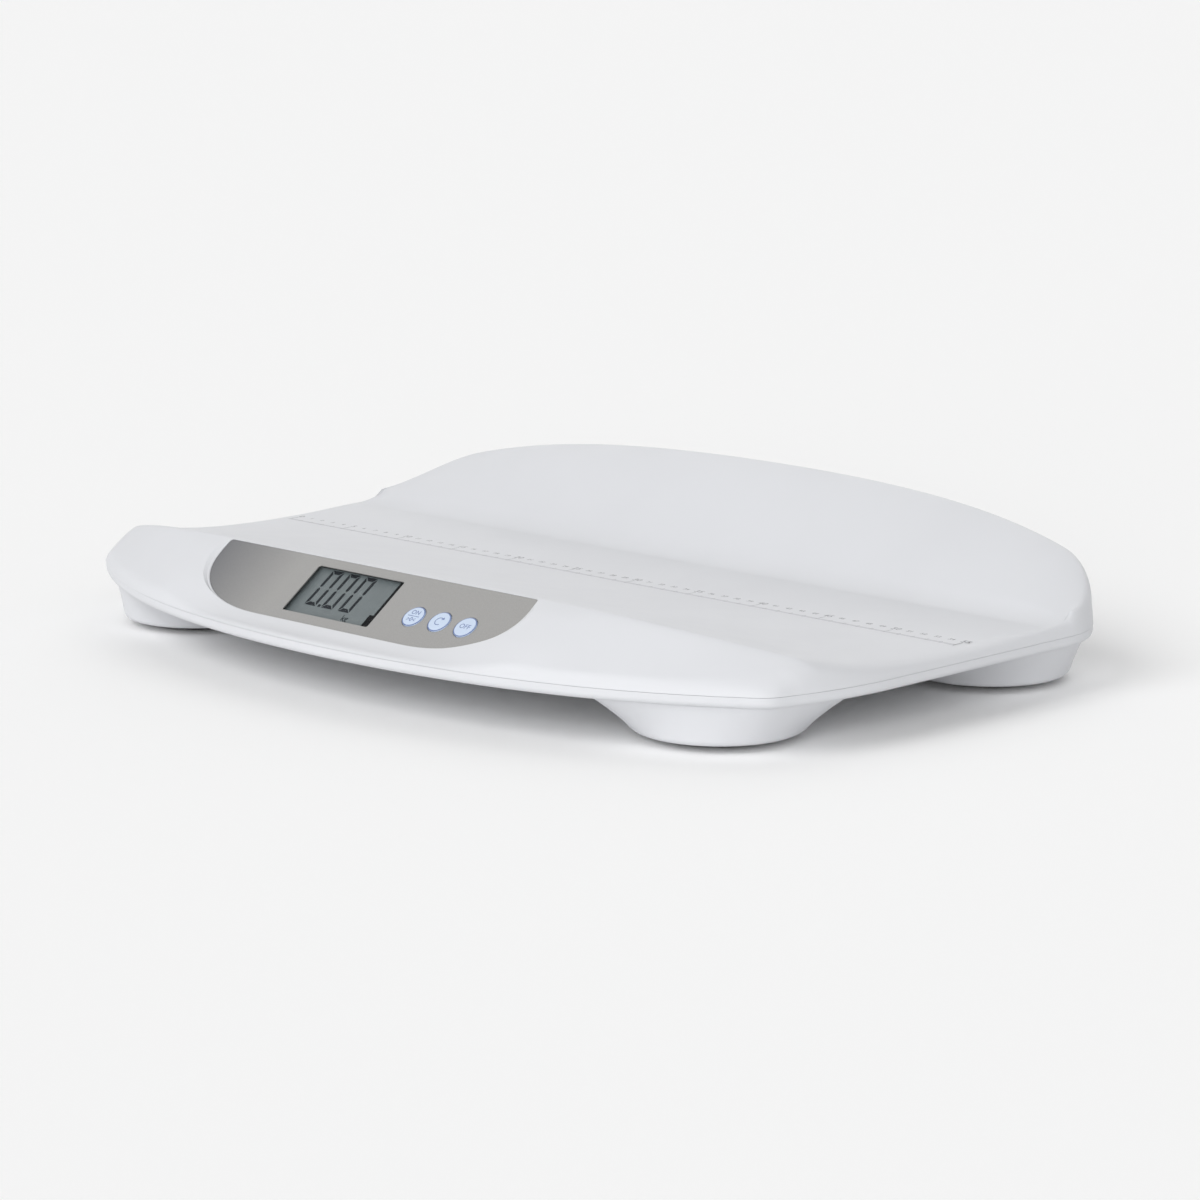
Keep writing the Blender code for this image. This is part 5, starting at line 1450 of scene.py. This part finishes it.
class SCALE_OT_finishes(bpy.types.Operator):
    """Give every CAD piece that stays its own finish"""
    bl_idname = "scale.finishes"
    bl_label = "Finishes"

    def execute(self, context):
        plastic = moulded_plastic("door_plastic", context.scene.scale_casing.plastic, 0.38)
        cup = moulded_plastic("cup_plastic", (0.46, 0.47, 0.49), 0.5)
        black = moulded_plastic("black_plastic", (0.02, 0.02, 0.022), 0.42, 1200.0)
        steel = plated_steel("contact_steel", (0.62, 0.62, 0.63), 0.28)
        alloy = plated_steel("load_cell_alloy", (0.55, 0.56, 0.58), 0.36, (6.0, 1.0, 1.0))
        board = fibreglass_board("board_green", (0.02, 0.13, 0.05))
        jacket = cell_jacket("cell_jacket", (0.05, 0.05, 0.06), (0.62, 0.42, 0.20), (0.008, 0.0085))
        strip = rubber("strip_rubber", (0.05, 0.05, 0.055))
        finishes = {"battery_door": plastic, "foot_cup": cup, "cell_retainer": cup, "load_cell": alloy,
                    "circuit_board": board, "controller_chip": black, "switch": black,
                    "board_screw": steel, "battery_spring": steel, "battery_contact": steel,
                    "lcd_contact_strip": strip}
        for name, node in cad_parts.items():
            if node.hide_render or name in ("lcd_glass", "display_lens"):
                continue
            if name.startswith("battery_") and name[8:].isdigit():
                material = jacket
            else:
                material = next((finishes[key] for key in finishes if name.startswith(key)), None)
            if material is None:
                raise RuntimeError("no finish for " + name)
            for slot in node.material_slots:
                slot.material = material
        return {"FINISHED"}


class SCALE_OT_studio(bpy.types.Operator):
    """Set up the floor, the light and the camera"""
    bl_idname = "scale.studio"
    bl_label = "Studio"

    def execute(self, context):
        settings = context.scene.scale_studio
        self.make_floor(settings)
        self.make_sky(context.scene, settings)
        self.make_lamps(settings)
        self.make_camera(context.scene)
        context.scene.view_settings.view_transform = "Standard"
        return {"FINISHED"}

    def background_rays(self, nodes):
        """1 for rays that should see the plain background: from the camera, in gloss and through glass."""
        path = nodes.node("ShaderNodeLightPath").outputs
        seen = nodes.maths("MAXIMUM", path["Is Camera Ray"], path["Is Glossy Ray"])
        return nodes.maths("MAXIMUM", seen, path["Is Transmission Ray"])

    def make_floor(self, settings):
        reach = FLOOR_REACH
        mesh = bpy.data.meshes.new("floor")
        mesh.from_pydata([(x, y, 0) for x, y in rectangle(-reach, -reach, reach, reach)], [], [(0, 1, 2, 3)])
        paper = Finish("floor_paper", (settings.floor,) * 3, 0.9, Specular_IOR_Level=0.0)
        add_piece("floor", mesh, paper.material)

    def make_sky(self, scene, settings):
        world = bpy.data.worlds.new("studio")
        world.use_nodes = True
        scene.world = world
        nodes = Nodes(world.node_tree)
        light = nodes.out("ShaderNodeBackground", Color=(1.0,) * 3, Strength=settings.sky)
        seen = nodes.out("ShaderNodeBackground", Color=(settings.backdrop,) * 3)
        mixed = nodes.out("ShaderNodeMixShader", i0=self.background_rays(nodes), i1=light, i2=seen)
        nodes.feed(world.node_tree.nodes["World Output"].inputs["Surface"], mixed)

    def make_lamps(self, settings):
        for name, (azimuth, elevation, strength, spread) in LAMPS.items():
            azimuth, elevation = math.radians(azimuth), math.radians(elevation)
            lamp = bpy.data.lights.new(name, "SUN")
            lamp.energy = strength * settings.lamps * math.pi
            lamp.angle = math.radians(spread)
            thing = bpy.data.objects.new(name, lamp)
            bpy.context.scene.collection.objects.link(thing)
            across = math.cos(elevation)
            direction = Vector((across * math.cos(azimuth), across * math.sin(azimuth), math.sin(elevation)))
            thing.rotation_euler = direction.to_track_quat("Z", "Y").to_euler()

    def make_camera(self, scene):
        data = bpy.data.cameras.new("camera")
        data.lens = CAMERA_LENS
        data.clip_end = 100.0
        camera = bpy.data.objects.new("camera", data)
        scene.collection.objects.link(camera)
        camera.location = CAMERA_PLACE
        camera.rotation_euler = Vector(CAMERA_AIM).to_track_quat("-Z", "Y").to_euler()
        scene.camera = camera


class SCALE_PT_steps(bpy.types.Panel):
    """Lists the steps and their settings"""
    bl_idname = "SCALE_PT_steps"
    bl_label = "Baby Weighing Scale"
    bl_space_type = "VIEW_3D"
    bl_region_type = "UI"
    bl_category = "Scale"

    def draw(self, context):
        for step, settings in STEPS:
            box = self.layout.box()
            if settings:
                group = getattr(context.scene, settings)
                for name in group.__annotations__:
                    box.prop(group, name)
            box.operator(step.bl_idname)


STEPS = (
    (SCALE_OT_casings, "scale_casing"),
    (SCALE_OT_display, "scale_display"),
    (SCALE_OT_buttons, "scale_buttons"),
    (SCALE_OT_ruler, "scale_ruler"),
    (SCALE_OT_underside, "scale_underside"),
    (SCALE_OT_finishes, None),
    (SCALE_OT_studio, "scale_studio"),
)
SETTINGS = {
    "scale_casing": CasingSettings,
    "scale_display": DisplaySettings,
    "scale_buttons": ButtonSettings,
    "scale_ruler": RulerSettings,
    "scale_underside": UndersideSettings,
    "scale_studio": StudioSettings,
}


def register():
    for name, group in SETTINGS.items():
        bpy.utils.register_class(group)
        setattr(bpy.types.Scene, name, bpy.props.PointerProperty(type=group))
    for step, _ in STEPS:
        bpy.utils.register_class(step)
    bpy.utils.register_class(SCALE_PT_steps)


def unregister():
    bpy.utils.unregister_class(SCALE_PT_steps)
    for step, _ in reversed(STEPS):
        bpy.utils.unregister_class(step)
    for name, group in SETTINGS.items():
        delattr(bpy.types.Scene, name)
        bpy.utils.unregister_class(group)


def main():
    register()
    bpy.ops.scale.casings()
    bpy.ops.scale.display()
    bpy.ops.scale.buttons()
    bpy.ops.scale.ruler()
    bpy.ops.scale.underside()
    bpy.ops.scale.finishes()
    bpy.ops.scale.studio()


if __name__ == "__main__":
    main()
